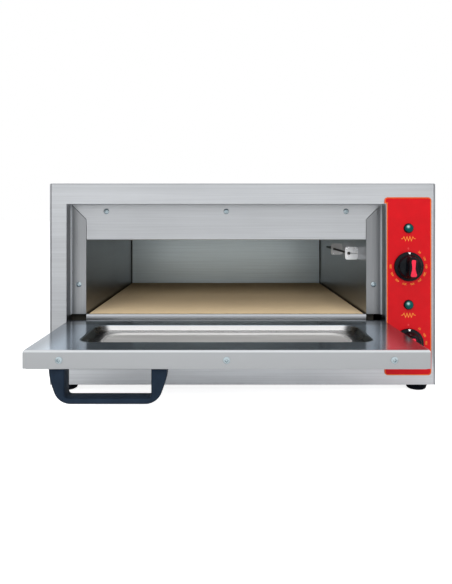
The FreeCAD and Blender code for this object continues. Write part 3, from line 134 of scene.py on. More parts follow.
class Desk:
    """Node tree of one material or world, with a shader at its end."""

    def __init__(self, owner: bpy.types.Material | bpy.types.World, shader: str, output: str) -> None:
        """Empty the tree and join a shader to an output.

        Args:
            owner: The material or world.
            shader: Type of the shader node.
            output: Type of the output node.
        """
        owner.use_nodes = True
        self.owner = owner
        self.tree = owner.node_tree
        self.tree.nodes.clear()
        self.shader = self.tree.nodes.new(shader)
        end = self.tree.nodes.new(output)
        self.tree.links.new(self.shader.outputs[0], end.inputs["Surface"])

    @classmethod
    def of_material(cls, name: str) -> "Desk":
        """Return the desk of a new material with a principled shader."""
        return cls(bpy.data.materials.new(name), "ShaderNodeBsdfPrincipled", "ShaderNodeOutputMaterial")

    def feed(self, node: bpy.types.Node, inputs: dict) -> None:
        """Set or link sockets of a node.

        Args:
            node: The node.
            inputs: Value or Shade for each socket, by name or number.
        """
        for key, value in inputs.items():
            if isinstance(value, Shade):
                self.tree.links.new(value.socket, node.inputs[key])
            else:
                node.inputs[key].default_value = value

    def add(self, kind: str, settings: dict | None = None, inputs: dict | None = None,
            output: str | int = 0) -> Shade:
        """Add a node of any kind.

        Args:
            kind: The node's type.
            settings: Its properties.
            inputs: Values or links of its sockets.
            output: The output that is wanted.

        Returns:
            That output.
        """
        node = self.tree.nodes.new(kind)
        for key, value in (settings or {}).items():
            setattr(node, key, value)
        self.feed(node, inputs or {})
        return Shade(self, node.outputs[output])

    def spot(self) -> Shade:
        """Return the Object coordinates."""
        return self.add("ShaderNodeTexCoord", output="Object")

    def part(self, axis: str) -> Shade:
        """Return one part of the Object coordinates, by its letter."""
        return self.add("ShaderNodeSeparateXYZ", None, {0: self.spot()}, output=axis)

    def noise(self, scale: float | Sequence[float], detail: float = 2.0, rough: float = 0.5) -> Shade:
        """Return smooth noise from 0 to 1.

        Args:
            scale: Waves per metre, alike in all directions or along X, Y and Z.
            detail: Octaves.
            rough: Share of the finer octaves.

        Returns:
            The noise.
        """
        stretch = (scale, scale, scale) if isinstance(scale, float) else tuple(scale)
        mapped = self.add("ShaderNodeMapping", None, {"Vector": self.spot(), "Scale": stretch})
        return self.add("ShaderNodeTexNoise", None,
                        {"Vector": mapped, "Scale": 1.0, "Detail": detail, "Roughness": rough})

    def step(self, value: Shade, low: float, high: float) -> Shade:
        """Return a smooth step.

        Args:
            value: The value.
            low: Where the step starts.
            high: Where it ends; below low, the step falls.

        Returns:
            0 to 1.
        """
        return self.add("ShaderNodeMapRange", {"interpolation_type": "SMOOTHSTEP"},
                        {"Value": value, "From Min": low, "From Max": high})

    def mix(self, share: Shade, first: "Shade | Colour", second: "Shade | Colour") -> Shade:
        """Return a mix of two colours.

        Args:
            share: Share of the second.
            first: First colour.
            second: Second colour.

        Returns:
            The colour.
        """
        ends = [end if isinstance(end, Shade) else (*end, 1.0) for end in (first, second)]
        return self.add("ShaderNodeMix", {"data_type": "RGBA"}, {0: share, 6: ends[0], 7: ends[1]}, output=2)

    def varied(self, tone: Shade, colour: Colour, dark: float, pale: float) -> Shade:
        """Return a colour that follows a tone.

        Args:
            tone: The tone, from 0 to 1.
            colour: The colour.
            dark: Share of it where the tone is low.
            pale: Share of it where the tone is high.

        Returns:
            The colour.
        """
        return self.mix(self.step(tone, *BLEND), shaded(colour, dark), shaded(colour, pale))

    def ray(self, kind: str) -> Shade:
        """Return 1 for the rays of one kind, else 0."""
        return self.add("ShaderNodeLightPath", output=f"Is {kind} Ray")

    def seen(self) -> Shade:
        """Return 1 for camera, glossy and transmission rays, else 0."""
        return self.ray("Camera").most(self.ray("Glossy")).most(self.ray("Transmission"))

    def bump(self, height: Shade, depth: float, strength: float = 1.0) -> Shade:
        """Return a normal from a height.

        Args:
            height: Height from 0 to 1.
            depth: Metres that 1 stands for.
            strength: Share of the slope that shows.

        Returns:
            The normal.
        """
        return self.add("ShaderNodeBump", None, {"Height": height, "Distance": depth, "Strength": strength})

    def finish(self, **inputs: "Shade | float | tuple") -> bpy.types.Material:
        """Feed the shader and return the owner; underscores in a socket's name stand for spaces."""
        self.feed(self.shader, {key.replace("_", " "): value for key, value in inputs.items()})
        return self.owner


def shaded(colour: Colour, share: float) -> Colour:
    """Return a colour scaled by a share."""
    return tuple(part * share for part in colour)


@dataclass(frozen=True)
class BrushedSteel:
    """Stainless sheet with fine brushing, faint streaks and handling haze.

    Each fade is (axis, start, end, share): along that axis the colour darkens to that share of its tone,
    painted shade that stands in for how light falls on the sheet.
    """

    name: str
    colour: Colour
    roughness: float
    grain: Grain
    streak: float = 0.1
    depth: float = 0.00003
    metallic: float = 1.0
    fades: tuple[tuple[str, float, float, float], ...] = ()

    def material(self) -> bpy.types.Material:
        """Build the material.

        Returns:
            The material.
        """
        desk = Desk.of_material(self.name)
        fine = desk.noise(self.grain.value, 4.0, 0.65)
        broad = desk.noise(tuple(scale / 9.0 for scale in self.grain.value), 2.0)
        haze = desk.noise(9.0, 3.0)
        tone = fine * 0.5 + broad * 0.3 + haze * 0.2
        colour = desk.varied(tone, self.colour, 1.0 - self.streak, 1.0 + self.streak)
        # painted shade: the colour darkens along each fade
        for axis, start, end, share in self.fades:
            colour = desk.mix(desk.step(desk.part(axis), start, end) * (1.0 - share), colour, SHADE_BLACK)
        rough = (fine - 0.5) * 0.12 + (haze - 0.5) * 0.1 + self.roughness
        return desk.finish(Base_Color=colour, Roughness=rough, Metallic=self.metallic,
                           Normal=desk.bump(fine, self.depth, 0.5))


@dataclass(frozen=True)
class BrightSteel:
    """Bright rolled sheet: near a mirror where it is flat, duller in the drawn pan, brushed on the free edge.

    Each pair is where a zone starts and where it is full: by height the drawn pan, whose paler colour is
    partly a painted highlight, the edge's bend, with a painted highlight, and the shelf; by depth the free
    edge and the hinge, with painted shade; by distance from the middle the ends of the pan, with painted
    shade, the sheet's sides, paled by a painted reflection, and its outer ends, darkened by a painted dark
    reflection.
    """

    name: str
    colour: Colour
    roughness: float
    drawn_roughness: float
    drawn: tuple[float, float]
    edge: tuple[float, float]
    bend: tuple[float, float]
    hinge: tuple[float, float]
    shelf: tuple[float, float]
    ends: tuple[float, float]
    sides: tuple[float, float]
    shaded_tips: tuple[float, float]
    middle: tuple[float, float]
    side_reflection_tone: float = 1.28
    side_reflection_share: float = 0.85
    tip_shade: Colour = (0.02, 0.02, 0.02)
    tip_shade_share: float = 0.62
    hinge_shade: float = 0.5
    brushed: Colour = (0.46, 0.475, 0.49)
    bend_highlight: Colour = (0.69, 0.715, 0.74)
    satin_and_highlight: Colour = (0.90, 0.89, 0.88)
    satin_and_highlight_share: float = 0.9
    end_shade: Colour = (0.05, 0.06, 0.07)
    end_shade_share: float = 0.75
    end_slant: float = 0.09

    def material(self) -> bpy.types.Material:
        """Build the material.

        Returns:
            The material.
        """
        desk = Desk.of_material(self.name)
        fine = desk.noise(Grain.ALONG_X.value, 3.0, 0.6)
        wipe = desk.noise((14.0, 30.0, 30.0), 3.0)
        edge = desk.step(desk.part("Y"), *self.edge)
        drawn = desk.step(desk.part("Z"), *self.drawn) * (1.0 - edge)
        colour = desk.varied(fine * 0.5 + wipe * 0.5, self.colour, 0.93, 1.05)
        away = desk.part("X") - self.middle[0]
        away = (away * away) ** 0.5
        # painted reflection: the sheet's sides pale towards a brighter copy of its colour
        colour = desk.mix(desk.step(away, *self.sides) * self.side_reflection_share, colour,
                          shaded(self.colour, self.side_reflection_tone))
        # painted dark reflection: the outer ends darken
        colour = desk.mix(desk.step(away, *self.shaded_tips) * self.tip_shade_share, colour, self.tip_shade)
        # painted shade near the hinge
        colour = desk.mix(desk.step(desk.part("Y"), *self.hinge) * self.hinge_shade, colour, SHADE_BLACK)
        colour = desk.mix(edge, colour, self.brushed)
        # painted highlight along the free edge's bend
        colour = desk.mix(edge * desk.step(desk.part("Z"), *self.bend), colour, self.bend_highlight)
        ends = desk.step(away - (desk.part("Y") - self.middle[1]) * self.end_slant, *self.ends)
        shelf = desk.step(desk.part("Z"), *self.shelf) * (1.0 - edge) * (1.0 - ends)
        # the drawn pan's paler colour: its finish, and in part a painted highlight
        colour = desk.mix(drawn * self.satin_and_highlight_share, colour, self.satin_and_highlight)
        # painted shade at the pan's ends
        colour = desk.mix(drawn * ends * self.end_shade_share, colour, self.end_shade)
        rough = (self.roughness + (fine - 0.5) * 0.04 + (wipe - 0.5) * 0.05
                 + drawn * (self.drawn_roughness - self.roughness) + edge * 0.2)
        return desk.finish(Base_Color=colour, Roughness=rough, Metallic=0.9 + drawn * 0.1 - shelf * 0.3,
                           Normal=desk.bump(fine, 0.00002, 0.35))


@dataclass(frozen=True)
class CoatedSheet:
    """Dull hot-dip coated sheet: soft spangle cells, fine grit and cloudy patches."""

    name: str
    colour: Colour
    roughness: float

    def material(self) -> bpy.types.Material:
        """Build the material.

        Returns:
            The material.
        """
        desk = Desk.of_material(self.name)
        cells = desk.add("ShaderNodeTexVoronoi", None, {"Vector": desk.spot(), "Scale": 150.0}, "Color")
        spangle = desk.add("ShaderNodeSeparateXYZ", None, {0: cells}, output="X")
        grit = desk.noise(900.0, 2.0)
        cloud = desk.noise(16.0, 4.0)
        tone = spangle * 0.3 + grit * 0.25 + cloud * 0.45
        colour = desk.mix(desk.step(tone, 0.25, 0.75), shaded(self.colour, 0.82), shaded(self.colour, 1.16))
        rough = self.roughness + (spangle - 0.5) * 0.12 + (cloud - 0.5) * 0.14
        return desk.finish(Base_Color=colour, Roughness=rough, Metallic=0.85,
                           Normal=desk.bump(grit + cloud, 0.00008, 0.4))


@dataclass(frozen=True)
class FireStone:
    """Pressed baking stone: warm body, darker and paler grit, browner and darker towards the rear, partly
    from heat and partly painted shade of the deep chamber.
    """

    name: str
    colour: Colour
    toasted_and_shaded: Colour
    front: float
    rear: float

    def material(self) -> bpy.types.Material:
        """Build the material.

        Returns:
            The material.
        """
        desk = Desk.of_material(self.name)
        grit = desk.noise(1100.0, 3.0, 0.6)
        specks = desk.step(desk.noise(520.0, 1.0), 0.66, 0.74)
        cloud = desk.noise(13.0, 4.0)
        # towards the rear the colour browns and darkens: partly heat browning, partly painted shade of the
        # chamber's depth
        toast_and_shade = desk.step(desk.part("Y") + (cloud - 0.5) * 0.08, self.front, self.rear)
        body = desk.varied(grit * 0.6 + cloud * 0.4, self.colour, 0.93, 1.02)
        body = desk.mix(specks * 0.35, body, shaded(self.colour, 0.55))
        body = desk.mix(toast_and_shade * 0.75, body, self.toasted_and_shaded)
        return desk.finish(Base_Color=body, Roughness=0.82 + grit * 0.15,
                           Normal=desk.bump(grit - specks * 0.5, 0.00025, 0.5))


@dataclass(frozen=True)
class Moulded:
    """Moulded plastic, rubber or ceramic: fine tool grain, faint tone changes and rub marks.

    Each highlight spot is (x, y, z, radius): there the colour pales, a painted highlight such as the lamp
    lenses show.
    """

    name: str
    colour: Colour
    roughness: float
    grain: float = 1600.0
    depth: float = 0.00004
    shine: float = 0.25
    # colour of the painted highlights
    pale: Colour = (0.40, 0.60, 0.60)
    painted_highlights: tuple[tuple[float, float, float, float], ...] = ()

    def material(self) -> bpy.types.Material:
        """Build the material.

        Returns:
            The material.
        """
        desk = Desk.of_material(self.name)
        grain = desk.noise(self.grain, 3.0)
        rub = desk.noise(60.0, 4.0)
        colour = desk.varied(rub * 0.7 + grain * 0.3, self.colour, 0.85, 1.2)
        # painted highlights: the colour pales round each spot
        for x, y, z, radius in self.painted_highlights:
            away = desk.add("ShaderNodeVectorMath", {"operation": "DISTANCE"},
                            {0: desk.spot(), 1: (x, y, z)}, output="Value")
            colour = desk.mix(desk.step(away, radius, 0.0), colour, self.pale)
        rough = self.roughness + (rub - 0.5) * 0.16 + (grain - 0.5) * 0.08
        return desk.finish(Base_Color=colour, Roughness=rough, Specular_IOR_Level=self.shine,
                           Normal=desk.bump(grain, self.depth, 0.4))


@dataclass(frozen=True)
class Plated:
    """Plated or turned metal: bright body, fine turning grain and slight tarnish in patches."""

    name: str
    colour: Colour
    roughness: float
    tarnish: Colour
    metallic: float = 1.0

    def material(self) -> bpy.types.Material:
        """Build the material.

        Returns:
            The material.
        """
        desk = Desk.of_material(self.name)
        grain = desk.noise(2400.0, 2.0)
        patch = desk.step(desk.noise(170.0, 3.0), 0.5, 0.75)
        colour = desk.mix(patch * 0.5, self.colour, self.tarnish)
        rough = self.roughness + patch * 0.12 + (grain - 0.5) * 0.08
        return desk.finish(Base_Color=colour, Roughness=rough, Metallic=self.metallic,
                           Normal=desk.bump(grain, 0.00002, 0.3))


@dataclass(frozen=True)
class MineralWool:
    """Felted wool: long fibres over soft lumps."""

    name: str
    colour: Colour

    def material(self) -> bpy.types.Material:
        """Build the material.

        Returns:
            The material.
        """
        desk = Desk.of_material(self.name)
        fibre = desk.noise((160.0, 1400.0, 900.0), 4.0, 0.7)
        lump = desk.noise(45.0, 3.0)
        colour = desk.varied(fibre * 0.6 + lump * 0.4, self.colour, 0.7, 1.15)
        return desk.finish(Base_Color=colour, Roughness=0.85 + fibre * 0.1,
                           Normal=desk.bump(fibre + lump, 0.0012, 0.7))


@dataclass(frozen=True)
class Ink:
    """Screen-printed ink: even tone with a faint screen texture."""

    name: str
    colour: Colour
    roughness: float = 0.45

    def material(self) -> bpy.types.Material:
        """Build the material.

        Returns:
            The material.
        """
        desk = Desk.of_material(self.name)
        screen = desk.noise(2600.0, 1.0)
        cloud = desk.noise(80.0, 2.0)
        colour = desk.varied(screen * 0.5 + cloud * 0.5, self.colour, 0.92, 1.04)
        return desk.finish(Base_Color=colour, Roughness=self.roughness + (screen - 0.5) * 0.1,
                           Specular_IOR_Level=0.2, Normal=desk.bump(screen, 0.00002, 0.3))


@dataclass(frozen=True)
class PanSheet:
    """Satin pan floor with long wipe marks; the raised bead and its fall are darker than the floor, a painted
    shade.
    """

    name: str
    colour: Colour
    bead: Colour
    rise: tuple[float, float]

    def material(self) -> bpy.types.Material:
        """Build the material.

        Returns:
            The material.
        """
        desk = Desk.of_material(self.name)
        fine = desk.noise(Grain.ALONG_X.value, 3.0, 0.6)
        wipe = desk.noise((6.0, 90.0, 90.0), 4.0, 0.6)
        colour = desk.varied(fine * 0.4 + wipe * 0.6, self.colour, 0.8, 1.2)
        # painted shade: the bead and its fall darker than the floor, by height
        colour = desk.mix(desk.step(desk.part("Z"), *self.rise), colour, self.bead)
        return desk.finish(Base_Color=colour, Roughness=0.42 + (wipe - 0.5) * 0.2, Metallic=0.35,
                           Normal=desk.bump(fine, 0.00003, 0.4))


STEEL = (0.60, 0.62, 0.645)
FASCIA = BrushedSteel("fascia_steel_along", shaded(STEEL, 0.95), 0.34, Grain.ALONG_X)
COVER = BrushedSteel("cover_steel_lengthwise", STEEL, 0.36, Grain.ALONG_Y, 0.07)
DOOR_EDGE = BrushedSteel("door_steel_along", STEEL, 0.36, Grain.ALONG_X)
# The sill is a paler copy of the steel: a painted highlight on the sill.
SILL_WITH_HIGHLIGHT = BrushedSteel("sill_steel", shaded(STEEL, 1.08), 0.3, Grain.ALONG_X)
REAR_WALL = BrushedSteel("rear_wall_steel", (0.61, 0.70, 0.73), 0.34, Grain.ALONG_X, 0.12, metallic=0.8)
# The side walls darken just above the stone: a painted contact shadow.
SIDE_WALL = BrushedSteel("side_wall_steel", (0.29, 0.305, 0.325), 0.32, Grain.ALONG_Y,
                         fades=(("Z", 0.1145, 0.1105, 0.05),))
# The left wall is a darker copy of the side walls' steel: painted shade.
SHADED_LEFT_WALL = replace(SIDE_WALL, name="left_wall_steel", colour=shaded(SIDE_WALL.colour, 0.62))
COATED = CoatedSheet("coated_sheet", (0.40, 0.425, 0.42), 0.48)
ZINC = Plated("bright_zinc", (0.52, 0.61, 0.65), 0.24, (0.22, 0.29, 0.32))
STONE = FireStone("fire_stone", (0.97, 0.755, 0.48), (0.30, 0.20, 0.09), 0.08, 0.30)
HOT_TUBE = Plated("heat_darkened_tube", (0.22, 0.20, 0.19), 0.42, (0.12, 0.08, 0.07))
BULB = Plated("dark_bulb", (0.07, 0.065, 0.06), 0.46, (0.04, 0.035, 0.03))
CLIP_STEEL = Plated("clip_steel", (0.92, 0.93, 0.94), 0.2, (0.70, 0.71, 0.72), 0.5)
# The wool is near black, darker than mineral wool is: painted shade of the dark opening under the lips.
WOOL_IN_SHADE = MineralWool("mineral_wool", (0.05, 0.046, 0.038))
RED_FILM = Ink("red_film", (0.57, 0.004, 0.009), 0.34)
BLACK = Moulded("black_phenolic", (0.002, 0.003, 0.005), 0.25, shine=0.16)
HANDLE_BLACK = Moulded("handle_phenolic", (0.015, 0.025, 0.042), 0.42, shine=0.05)
RED_INSERT = Moulded("red_insert", (0.76, 0.020, 0.055), 0.3, shine=0.3)
LENS = Moulded("green_lens", (0.0, 0.08, 0.075), 0.08, grain=300.0, shine=0.12)
RUBBER = Moulded("foot_rubber", (0.002, 0.003, 0.006), 0.55, grain=900.0, depth=0.0001, shine=0.04)
BRASS = Plated("turned_brass", (0.72, 0.55, 0.27), 0.3, (0.45, 0.32, 0.15))
CERAMIC = Moulded("white_ceramic", (0.80, 0.77, 0.70), 0.5, grain=700.0)
YELLOW_INK = Ink("yellow_ink", (0.86, 0.34, 0.05))
WHITE_INK = Ink("white_ink", (0.86, 0.86, 0.84))
PINK_INK = Ink("pale_red_ink", (0.88, 0.12, 0.11))


@dataclass
class Shape:
    """Points and faces of a surface."""

    points: Array
    faces: Array

    def __add__(self, other: "Shape") -> "Shape":
        """Return both surfaces as one."""
        return Shape(np.vstack([self.points, other.points]),
                     np.vstack([self.faces, other.faces + len(self.points)]))

    def moved(self, spot: Sequence[float]) -> "Shape":
        """Return the surface moved by a vector."""
        return Shape(self.points + np.asarray(spot), self.faces)

    def upright(self) -> "Shape":
        """Return the surface with X and Z swapped."""
        return Shape(self.points[:, [2, 1, 0]], self.faces)

    def facing_front(self, spot: Sequence[float]) -> "Shape":
        """Return the surface with its Z turned to -Y and its Y to +Z, at a place."""
        x, y, z = self.points.T
        return Shape(np.stack([x, -z, y], axis=-1), self.faces).moved(spot)


def joined(shapes: Sequence[Shape]) -> Shape:
    """Return several surfaces as one."""
    return sum(shapes[1:], shapes[0])


def circle(steps: int) -> Array:
    """Return angles spaced evenly round a circle."""
    return np.linspace(0.0, 2.0 * np.pi, steps, endpoint=False)


def bowed(wave: Array, power: float | Array) -> Array:
    """Return the size of a wave to a power, with the wave's sign: the term of a superellipse."""
    return np.sign(wave) * np.abs(wave) ** power


def grid(points: Array, wrap_rows: bool = False) -> Shape:
    """Return the quads of a grid of points, whose last column joins the first.

    Args:
        points: Array of rows by columns by 3.
        wrap_rows: Join the last row to the first.

    Returns:
        The surface.
    """
    rows, columns = points.shape[:2]
    row = np.arange(rows if wrap_rows else rows - 1)[:, None]
    column = np.arange(columns)[None, :]
    next_row, next_column = (row + 1) % rows, (column + 1) % columns
    corners = [row * columns + column, row * columns + next_column,
               next_row * columns + next_column, next_row * columns + column]
    return Shape(points.reshape(-1, 3), np.stack(corners, axis=-1).reshape(-1, 4))


def placed(name: str, data: bpy.types.ID) -> bpy.types.Object:
    """Return a new object at the scene's origin.

    Args:
        name: Its name.
        data: Its mesh, curve, lamp or camera.

    Returns:
        The object.
    """
    made = bpy.data.objects.new(name, data)
    bpy.context.scene.collection.objects.link(made)
    return made


def piece(name: str, shape: Shape, body: str, slot: str, finish: bpy.types.Material,
          stands_for: Sequence[str] = ()) -> bpy.types.Object:
    """Make a finished piece: doubles merged, faces outwards, riding on its body.

    Args:
        name: The piece's name.
        shape: Its surface.
        body: The body that carries it.
        slot: The record's material slot; not used.
        finish: Its material.
        stands_for: Nodes that it replaces.

    Returns:
        The object.
    """
    mesh = bpy.data.meshes.new(name)
    count, sides = shape.faces.shape
    mesh.vertices.add(len(shape.points))
    mesh.vertices.foreach_set("co", shape.points.astype(np.float32).ravel())
    mesh.loops.add(count * sides)
    mesh.loops.foreach_set("vertex_index", shape.faces.astype(np.int32).ravel())
    mesh.polygons.add(count)
    mesh.polygons.foreach_set("loop_start", np.arange(0, count * sides, sides, dtype=np.int32))
    mesh.update(calc_edges=True)
    work = bmesh.new()
    work.from_mesh(mesh)
    bmesh.ops.remove_doubles(work, verts=work.verts, dist=DOUBLE)
    bmesh.ops.dissolve_degenerate(work, edges=work.edges, dist=DOUBLE / 10.0)
    bmesh.ops.recalc_face_normals(work, faces=work.faces)
    work.to_mesh(mesh)
    work.free()
    mesh.shade_smooth()
    mesh.set_sharp_from_angle(angle=CREASE)
    mesh.materials.append(finish)
    made = placed(name, mesh)
    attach(made, body)
    if stands_for:
        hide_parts(*stands_for)
    return made


def swept(profile: Sequence[tuple[float, float]], steps: int) -> Array:
    """Return the points of a lathe surface about Z: each (radius, height) of the profile is swept round.

    Args:
        profile: Radii and heights.
        steps: Points round the axis.

    Returns:
        Points, a row for each point of the profile.
    """
    radius, height = (column[:, None] for column in np.array(profile).T)
    angle = circle(steps)
    return np.stack([radius * np.cos(angle), radius * np.sin(angle),
                     np.broadcast_to(height, (len(height), steps))], axis=-1)


def rounded(centre: tuple[float, float], first: float, last: float, radius: float,
            steps: int) -> list[tuple[float, float]]:
    """Return an arc of a profile, centre + radius * (cos, sin).

    Args:
        centre: The arc's centre.
        first: Angle of its first point in degrees.
        last: Angle of its last point in degrees.
        radius: Its radius.
        steps: Its points.

    Returns:
        The points.
    """
    angle = np.radians(np.linspace(first, last, steps))
    return list(zip(centre[0] + radius * np.cos(angle), centre[1] + radius * np.sin(angle)))


def corner_walk(steps: int) -> tuple[Array, Array, Array]:
    """Return a walk round the four corners of a rounded rectangle.

    Args:
        steps: Points on each corner's arc.

    Returns:
        Signs of the corner along both sides, and the angle on its arc.
    """
    quarter = np.linspace(0.0, np.pi / 2.0, steps)
    angle = np.concatenate([quarter + np.pi / 2.0 * corner for corner in range(4)])
    return np.repeat([1.0, -1.0, -1.0, 1.0], steps), np.repeat([1.0, 1.0, -1.0, -1.0], steps), angle


def ring_loft(rings: Sequence[Ring], steps: int, wrap: bool = False) -> Shape:
    """Return a surface through rounded rectangles.

    A ring (u, v, half width, half height, corner radius, level) gives points
    centre +- (half - radius) + radius * (cos, sin), so each corner is an arc and each side is straight.

    Args:
        rings: The rounded rectangles in order.
        steps: Points on each corner's arc.
        wrap: Join the last ring to the first.

    Returns:
        The surface with u, v and level as X, Y and Z.
    """
    u, v, half_u, half_v, radius, level = (column[:, None] for column in np.array(rings).T)
    side_u, side_v, angle = corner_walk(steps)
    points = np.stack([u + side_u * (half_u - radius) + radius * np.cos(angle),
                       v + side_v * (half_v - radius) + radius * np.sin(angle),
                       np.broadcast_to(level, (len(rings), 4 * steps))], axis=-1)
    return grid(points, wrap)


def ribbon(path: Array, width: float, level: float, thickness: float, closed: bool = False) -> Shape:
    """Return a flat printed line along a path in the front plane.

    Each point moves to both sides by half the width along the mitre (n1 + n2) / (1 + n1 . n2) of the normals
    of the two runs that meet there, and the strip is given a thickness.

    Args:
        path: Points (x, z).
        width: Width of the line.
        level: Y of the plate's face.
        thickness: How far the ink stands proud.
        closed: Join the last point to the first.

    Returns:
        The surface.
    """
    ahead = np.roll(path, -1, axis=0) - path
    if not closed:
        ahead[-1] = ahead[-2]
    normal = np.stack([-ahead[:, 1], ahead[:, 0]], axis=-1) / np.linalg.norm(ahead, axis=1)[:, None]
    before = np.roll(normal, 1, axis=0)
    if not closed:
        before[0] = normal[0]
    mitre = (before + normal) / np.maximum(1.0 + np.sum(before * normal, axis=1), SHARPEST)[:, None]
    return strip(path + mitre * width / 2.0, path - mitre * width / 2.0, level, thickness, closed)


def strip(left: Array, right: Array, level: float, thickness: float, closed: bool = False) -> Shape:
    """Return the sheet between two lines in the front plane, a four-cornered section carried along both.

    Args:
        left: Points (x, z) of one line.
        right: Points (x, z) of the other.
        level: Y of the sheet's back.
        thickness: How far its front stands before that.
        closed: Join the last points to the first.

    Returns:
        The surface.
    """
    corners = [(left, level), (left, level - thickness), (right, level - thickness), (right, level)]
    points = np.stack([np.stack([side[:, 0], np.full(len(left), y), side[:, 1]], axis=-1)
                       for side, y in corners], axis=1)
    sheet = grid(points, closed)
    if closed:
        return sheet
    last = 4 * (len(left) - 1)
    caps = [[0, 1, 2, 3], [last + 3, last + 2, last + 1, last]]
    return Shape(sheet.points, np.vstack([sheet.faces, caps]))


def bar(ends: Sequence[float | Array], depth: Array, height: Array) -> Shape:
    """Return a bar along X whose section runs straight from one end to the other, closed at both ends.

    The section's points go out along one face and come back along the other, so each cap is a row of quads.

    Args:
        ends: For each end, the place along the bar, alike for the whole section or point by point.
        depth: Depth of the section's points.
        height: Height of the section's points.

    Returns:
        The surface.
    """
    points = np.stack([np.stack([np.broadcast_to(end, depth.shape), depth, height], axis=-1) for end in ends])
    count = len(depth)
    first = np.arange(count // 2 - 1)
    cap = np.stack([first, first + 1, count - 2 - first, count - 1 - first], axis=-1)
    side = grid(points)
    return Shape(side.points, np.vstack([side.faces, cap, cap[:, ::-1] + count]))


def read(items: bpy.types.bpy_prop_collection, key: str, width: int, kind: type) -> Array:
    """Return a property of a mesh's elements.

    Args:
        items: Vertices, edges or triangles.
        key: The property.
        width: Numbers in each element.
        kind: Type of the numbers.

    Returns:
        A row for each element.
    """
    numbers = np.empty(len(items) * width, kind)
    items.foreach_get(key, numbers)
    return numbers.reshape(-1, width)


def span(node: str) -> tuple[Array, Array]:
    """Return the lowest and highest corner of a node."""
    low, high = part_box(node)
    return np.array(low), np.array(high)


def middles(node: str) -> list[Array]:
    """Return the middle of each separate solid of a node.

    Points at one place share a label, and the lesser label spreads along the edges until nothing changes.

    Args:
        node: The node.

    Returns:
        The middles, in order of their place.
    """
    mesh = frame["nodes"][node].data
    points = read(mesh.vertices, "co", 3, np.float32).astype(float)
    edges = read(mesh.edges, "vertices", 2, np.int32)
    places, index = np.unique(np.round(points, 6), axis=0, return_inverse=True)
    first, second = index.ravel()[edges].T
    label, before = np.arange(len(places)), None
    while before is None or not np.array_equal(before, label):
        before = label.copy()
        least = np.minimum(before[first], before[second])
        np.minimum.at(label, first, least)
        np.minimum.at(label, second, least)
    groups = [places[label == name] for name in np.unique(label)]
    return sorted(((group.min(0) + group.max(0)) / 2.0 for group in groups),
                  key=lambda spot: tuple(np.round(spot, 4)))


@dataclass
class Carried:
    """Finishes of the solids that are shown as they are."""

    by_slot: dict = field(default_factory=lambda: {
        "fascia_steel": FASCIA, "bright_steel": CLIP_STEEL, "plated_sheet": COATED, "zinc_screw": ZINC,
        "fire_stone": STONE, "element_steel": HOT_TUBE, "mineral_wool": WOOL_IN_SHADE, "red_plate": RED_FILM,
        "black_plastic": BLACK, "red_plastic": RED_INSERT, "lens_green": LENS, "foot_rubber": RUBBER,
        "hinge_brass": BRASS, "white_ceramic": CERAMIC})
    by_node: dict = field(default_factory=lambda: {
        "case_cover": COVER, "base_pan": COVER, "door_outer_panel": DOOR_EDGE, "top_sensor": BULB,
        "chamber_left_wall": SHADED_LEFT_WALL, "chamber_right_wall": SIDE_WALL, "chamber_rear_wall": REAR_WALL})

    def build(self) -> Pieces:
        """Dress every node of the model.

        Returns:
            The nodes, one by one.
        """
        made: dict[str, bpy.types.Material] = {}
        for row in frame["record"]["subparts"]:
            finish = self.by_node.get(row["node"], self.by_slot[row["material_slot"]])
            if finish.name not in made:
                made[finish.name] = finish.material()
            node = frame["nodes"][row["node"]]
            node.data.materials.clear()
            node.data.materials.append(made[finish.name])
            yield node


